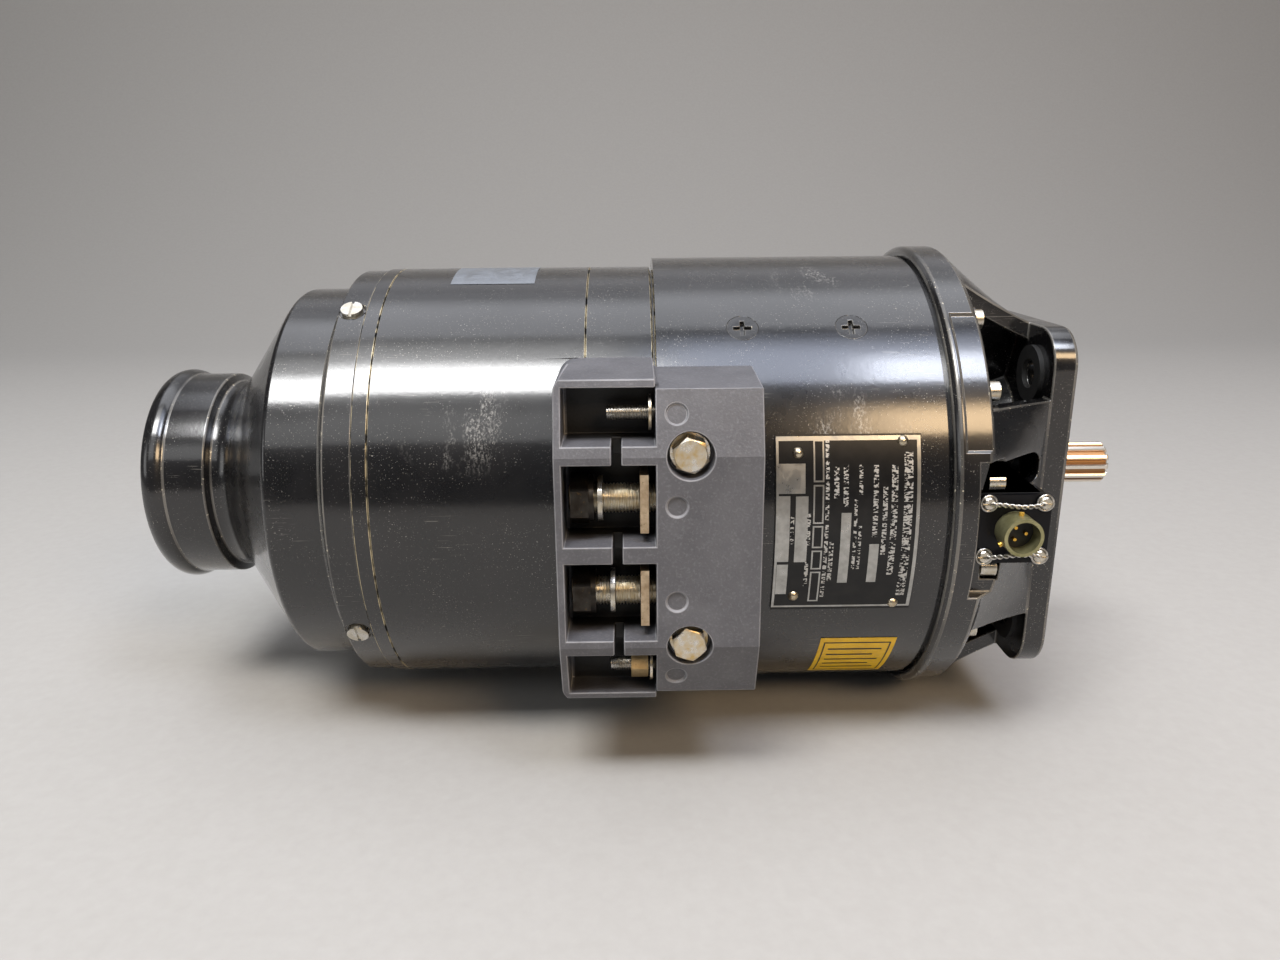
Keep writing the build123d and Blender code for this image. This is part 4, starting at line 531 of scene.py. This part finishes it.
on_flange = add(tree, "ShaderNodeMapRange", {"Value": depth, "From Min": connector_face - 0.3 * MM,
                                             "From Max": connector_face - 0.2 * MM})
painted(tree, shader, "#77744F", ("#A6A27C", film), ("#E2B44C", on_pin), ("#17171A", on_flange))
rubbed = add(tree, "ShaderNodeMapRange", {"Value": film, "To Min": 0.28, "To Max": 0.46}).outputs["Result"]
tree.links.new(rubbed, shader.inputs["Roughness"])
# bright warm yellow with a sharp shine
gold, tree, shader, place = finish("gold_plating", "#E2B44C", 0.2, 1.0)
painted(tree, shader, "#E6BC58", ("#C9973A", blotches(tree, place, 1.0, 0.3, 0.7)))
# dull black that swallows light, next to the glossy paint
nitrile, tree, shader, place = finish("black_nitrile_rubber", "#151515", 0.6)
painted(tree, shader, "#121212", ("#1E1D1C", blotches(tree, place, 2.0, 0.4, 0.7)))
dress(olive, "connector_shell")
dress(gold, "connector_pins")
dress(nitrile, "connector_gasket", "mount_grommets", "connector_insert")


def tube_piece(name, runs, radius, metal):
    """Round wire along one or more runs of points, as one closed mesh."""
    curve = bpy.data.curves.new(name, "CURVE")
    curve.dimensions = "3D"
    curve.bevel_depth = radius
    curve.bevel_resolution = 2
    curve.use_fill_caps = True
    for run in runs:
        spline = curve.splines.new("POLY")
        spline.points.add(len(run) - 1)
        for point, where in zip(spline.points, run):
            point.co = (*where, 1.0)
    bent = bpy.data.objects.new(name + "_path", curve)
    mesh = bpy.data.meshes.new_from_object(bent)
    bpy.data.objects.remove(bent)
    mesh.materials.append(metal)
    mesh.polygons.foreach_set("use_smooth", [True] * len(mesh.polygons))
    new_piece(name, mesh)


# fine bright silver with grey patches
lockwire, tree, shader, place = finish("stainless_lockwire", "#C6C3BC", 0.3, 1.0)
painted(tree, shader, "#CFCCC6", ("#A5A097", blotches(tree, place, 1.5, 0.35, 0.7)))
wire_radius, screw_half_pitch, loop_radius = 0.40 * MM, 9.13 * MM, 2.55 * MM
twist_radius, twist_turns, twist_steps, loop_steps = 0.46 * MM, 4.5, 60, 24
run_lift, run_bow, run_sag, loop_lift, loop_rise = 1.7 * MM, 0.5 * MM, 1.6 * MM, 0.5 * MM, 0.5 * MM
wires = []
for side in (1, -1):
    height = connector_centre[1] + side * screw_half_pitch
    left = Vector((connector_centre[0] - screw_half_pitch, 0, height))
    right = Vector((connector_centre[0] + screw_half_pitch, 0, height))
    lift = connector_face - run_lift
    # two strands twisted about each other, bowed between the screws
    for strand in (0, 1):
        run = []
        for step in range(twist_steps + 1):
            share = step / twist_steps
            bow = sin(pi * share)
            swing = tau * (twist_turns * share + strand / 2)
            run.append((left.x + (right.x - left.x) * share,
                        lift - run_bow * bow + twist_radius * cos(swing),
                        height - side * run_sag * bow * share + twist_radius * sin(swing)))
        wires.append(run)
    # one turn round each screw's head
    for centre in (left, right):
        wires.append([(centre.x + loop_radius * cos(tau * k / loop_steps),
                       connector_face - loop_lift - loop_rise * (k / loop_steps),
                       centre.z + loop_radius * sin(tau * k / loop_steps)) for k in range(loop_steps + 1)])
tube_piece("connector_lockwire", wires, wire_radius, lockwire)


# Name plate, decal and label.
# The plate is black anodised aluminium foil with bare lines and fields, riveted on at its corners. The
# decal is printed yellow film and the label is aluminised film, both stuck on.
yoke_radius, frame_radius = 82.5, 79.25


def wrapped(name, fields, radius_mm, metal):
    """Thin fields (left and right in mm, low and high angle in degrees) bent round the casing."""
    step_mm = 1.5
    mesh = bpy.data.meshes.new(name)
    shape = bmesh.new()
    for left, right, low_angle, high_angle in fields:
        parts = max(1, round(radians(high_angle - low_angle) * radius_mm / step_mm))
        previous = None
        for k in range(parts + 1):
            angle = radians(low_angle + (high_angle - low_angle) * k / parts)
            pair = [shape.verts.new((x * MM, -radius_mm * cos(angle) * MM, radius_mm * sin(angle) * MM))
                    for x in (left, right)]
            if previous:
                shape.faces.new((previous[0], previous[1], pair[1], pair[0]))
            previous = pair
    bmesh.ops.recalc_face_normals(shape, faces=shape.faces)
    for face in shape.faces:
        middle = face.calc_center_median()
        if face.normal.dot(Vector((0, middle.y, middle.z))) < 0:
            face.normal_flip()
        face.smooth = True
    shape.to_mesh(mesh)
    shape.free()
    mesh.materials.append(metal)
    new_piece(name, mesh)


# satin black, a little greyer than the paint round it
foil, tree, shader, place = finish("black_anodised_foil", "#101011", 0.3, 0.3)
painted(tree, shader, "#0E0E0F", ("#1C1B1A", blotches(tree, place, 5.0, 0.4, 0.75)))
dress(foil, "name_plate")
# thin silver lines that catch the light
line_metal = plated("bare_foil_lines", "#B9B8B4", "#9B9A96", 0.36, 0.72)
# print as it looks from far off: pale, with fine dark breaks across it
worn_print, tree, shader, place = finish("worn_print", "#A9A8A4", 0.42, 0.6)
breaks = blotches(tree, place, 0.62, 0.46, 0.52, (0.5, 1.0, 1.0), 1.0)
painted(tree, shader, "#B5B4B0", ("#19191A", breaks))
# warm silver domes, each with one soft highlight
rivet_metal = plated("domed_aluminium", "#C9C0AC", "#A08A66", 0.30, 0.68)
dress(rivet_metal, "name_plate_rivets")
plate_low, plate_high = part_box("name_plate")
plate_left, plate_right = plate_low.x / MM + 0.2, plate_high.x / MM - 0.2
# just proud of the foil, in mm
plate_radius = 83.43
plate_bottom, plate_top = -18.9, 22.0
border = 0.8
border_angle = 0.5
# the border, the bare fields and the outlined boxes
fields = [(plate_left, plate_right, plate_bottom, plate_bottom + border_angle),
          (plate_left, plate_right, plate_top - 2 * border_angle, plate_top),
          (plate_left, plate_left + border, plate_bottom, plate_top),
          (plate_right - 1.4 * border, plate_right, plate_bottom, plate_top),
          (-101.4, -92.8, 9.4, 16.0), (-101.4, -97.6, -6.4, 8.9), (-95.8, -91.8, -6.5, 8.8),
          (-101.2, -97.6, -15.0, -7.1), (-81.1, -77.9, -12.0, 5.0), (-71.6, -68.5, -11.9, -2.3)]
box_left, box_right, rule, rule_angle = -90.2, -86.8, 0.5, 0.35
for top, bottom in ((21.2, 11.9), (11.3, 2.6), (2.1, -3.1), (-3.7, -8.4), (-9.0, -17.2)):
    fields += [(box_left, box_right, top - rule_angle, top), (box_left, box_right, bottom, bottom + rule_angle),
               (box_left, box_left + rule, bottom, top), (box_right - rule, box_right, bottom, top)]
wrapped("name_plate_fields", fields, plate_radius, line_metal)
# the print is plain bars, each broken into a few lengths
bars = []
break_angle = 0.6
for left, right, top, bottom, lengths in (
        (-61.2, -58.4, 18.3, -16.3, 3), (-65.2, -63.2, 15.5, -10.6, 3), (-67.9, -66.4, 10.7, -5.5, 2),
        (-71.0, -69.4, 15.5, -1.2, 3), (-75.6, -74.4, 15.6, 8.5, 2), (-80.6, -79.0, 15.6, 5.8, 2),
        (-83.6, -82.0, 15.6, 7.7, 1), (-84.6, -83.2, -1.7, -12.1, 1), (-86.3, -85.1, 21.1, 2.8, 4),
        (-86.3, -85.1, 2.3, -16.5, 5), (-77.0, -76.0, 8.0, -9.0, 4), (-75.4, -74.4, 2.0, -9.0, 3),
        (-92.2, -90.9, 4.9, -3.0, 2), (-97.4, -96.2, 4.3, -2.7, 2), (-92.2, -91.0, -6.2, -13.4, 1)):
    pitch = (top - bottom) / lengths
    for k in range(lengths):
        bars.append((left, right, top - pitch * (k + 1) + break_angle, top - pitch * k))
wrapped("name_plate_print", bars, plate_radius, worn_print)

# strong yellow, slightly browned in patches
decal_film, tree, shader, place = finish("yellow_film", "#E9B90F", 0.35)
painted(tree, shader, "#ECBD12", ("#D2A20E", blotches(tree, place, 6.0, 0.4, 0.8)))
wrapped("yellow_decal", [(-83.0, -56.5, -53.0, -31.0)], yoke_radius + 0.15, decal_film)
# black with brown wear
ink, tree, shader, place = finish("black_print", "#15130D", 0.4)
painted(tree, shader, "#15130D", ("#3A3219", blotches(tree, place, 1.2, 0.5, 0.8)))
left, right, low, high = -81.5, -58.0, -51.6, -32.9
rules = [(left, right, high - rule, high), (left, right, low, low + rule), (left, left + rule, low, high),
         (right - rule, right, low, high)]
for row in range(5):
    rules.append((-79.5, -60.5 - 2.5 * (row % 2), -36.6 - 3.0 * row, -35.9 - 3.0 * row))
wrapped("yellow_decal_rules", rules, yoke_radius + 0.2, ink)
# flat bluish silver
label_film = plated("aluminised_film", "#B2B7BE", "#969BA2", 0.45, 0.70)
wrapped("grey_label", [(-212.0, -182.0, 72.0, 92.0)], frame_radius + 0.12, label_film)


# Drive shaft.
# Ground alloy steel quill with rolled splines, bright on the tooth tops and bronze-brown with old
# grease between the teeth.
tooth_top, tooth_root = 8.1 * MM, 7.2 * MM
shaft_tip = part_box("drive_shaft")[1].x
# silver teeth that glint, with brown depths; the end face stays bright
spline_steel, tree, shader, place = finish("ground_spline_steel", "#D5CEC2", 0.26, 1.0)
at = add(tree, "ShaderNodeSeparateXYZ", {"Vector": place}).outputs
flat = add(tree, "ShaderNodeCombineXYZ", {"Y": at["Y"], "Z": at["Z"]})
away = add(tree, "ShaderNodeVectorMath", {0: flat}, operation="LENGTH").outputs["Value"]
deep = add(tree, "ShaderNodeMapRange", {"Value": away, "From Min": tooth_top, "From Max": tooth_root})
behind_tip = add(tree, "ShaderNodeMapRange", {"Value": at["X"], "From Min": shaft_tip - 0.2 * MM,
                                              "From Max": shaft_tip - 0.9 * MM})
greasy = add(tree, "ShaderNodeMath", {0: deep, 1: behind_tip}, operation="MULTIPLY")
painted(tree, shader, "#E2DCD2", ("#9C7650", greasy))
rough = add(tree, "ShaderNodeMapRange", {"Value": greasy, "To Min": 0.2, "To Max": 0.42}).outputs["Result"]
tree.links.new(rough, shader.inputs["Roughness"])
dress(spline_steel, "drive_shaft")


# Rotor, field and brushes.
# Varnished sheet steel pressed on a ground shaft that runs in ball bearings, copper bars brazed to the
# commutator, a cast fan keyed on, taped coils on screwed poles, and carbon brushes under strip springs.
def layered(name, base, gap_colour, pitch_mm, roughness, metallic, direction):
    """Stack or winding: thin layers with dark gaps, drawn coarser than real so that they show."""
    made, tree, shader, place = finish(name, base, roughness, metallic)
    bands_each_unit = 3.2
    wave = add(tree, "ShaderNodeTexWave", {"Vector": place, "Scale": 1 / (pitch_mm * MM) / bands_each_unit,
                                           "Distortion": 0.4, "Detail": 1.0}, bands_direction=direction)
    gaps = add(tree, "ShaderNodeMapRange", {"Value": wave.outputs["Fac"], "From Min": 0.35, "From Max": 0.05})
    painted(tree, shader, base, (gap_colour, blotches(tree, place, 7.0, 0.35, 0.7), 0.5), (gap_colour, gaps))
    bump = add(tree, "ShaderNodeBump", {"Strength": 0.4, "Distance": 0.2 * MM, "Height": wave.outputs["Fac"]})
    tree.links.new(bump.outputs["Normal"], shader.inputs["Normal"])
    return made


# bright and nearly mirror-like
shaft_steel = plated("ground_shaft_steel", "#C6C2BA", "#A39D92", 0.24, 0.74)
# brown-grey with fine dark lines across it
stack = layered("varnished_core_steel", "#55504A", "#2B2622", 1.2, 0.45, 0.8, "X")
# deep red-brown under a glossy varnish
winding = layered("varnished_copper_winding", "#8A3E1C", "#3F1A0C", 1.6, 0.28, 0.3, "Z")
# matt tan cloth tape with dark seams
taped = layered("taped_field_coil", "#7C6A45", "#4A3D25", 2.2, 0.6, 0.0, "X")
# warm pink-brown metal with turning lines
copper = layered("turned_copper", "#B9704A", "#8A4C2E", 0.9, 0.3, 1.0, "X")
# soft grey with a grainy shine
cast = plated("cast_aluminium", "#A9A9A8", "#8D8C89", 0.42, 0.70)
# cool grey with a long narrow shine
strip = plated("spring_strip_steel", "#8F9092", "#74757A", 0.3, 0.7)
# the brightest metal, with sharp reflections
bearing = plated("bearing_steel", "#D8D8D6", "#BDBDBA", 0.14, 0.8)
# dull near-black with fine grey specks
carbon, tree, shader, place = finish("pressed_carbon", "#242425", 0.5)
painted(tree, shader, "#1F1F20", ("#38383A", blotches(tree, place, 0.8, 0.45, 0.7)))
dress(shaft_steel, "armature_shaft")
dress(stack, "armature_core", "main_poles", "interpoles")
dress(winding, "armature_windings", "interpole_coils")
dress(taped, "main_field_coils")
dress(copper, "commutator")
dress(cast, "cooling_fan")
dress(bearing, "drive_bearing_outer_ring", "drive_bearing_inner_ring", "drive_bearing_balls",
      "cover_bearing_outer_ring", "cover_bearing_inner_ring", "cover_bearing_balls")
for number in range(1, 5):
    dress(carbon, f"brushes_{number}")
    dress(strip, f"brush_spring_{number}")
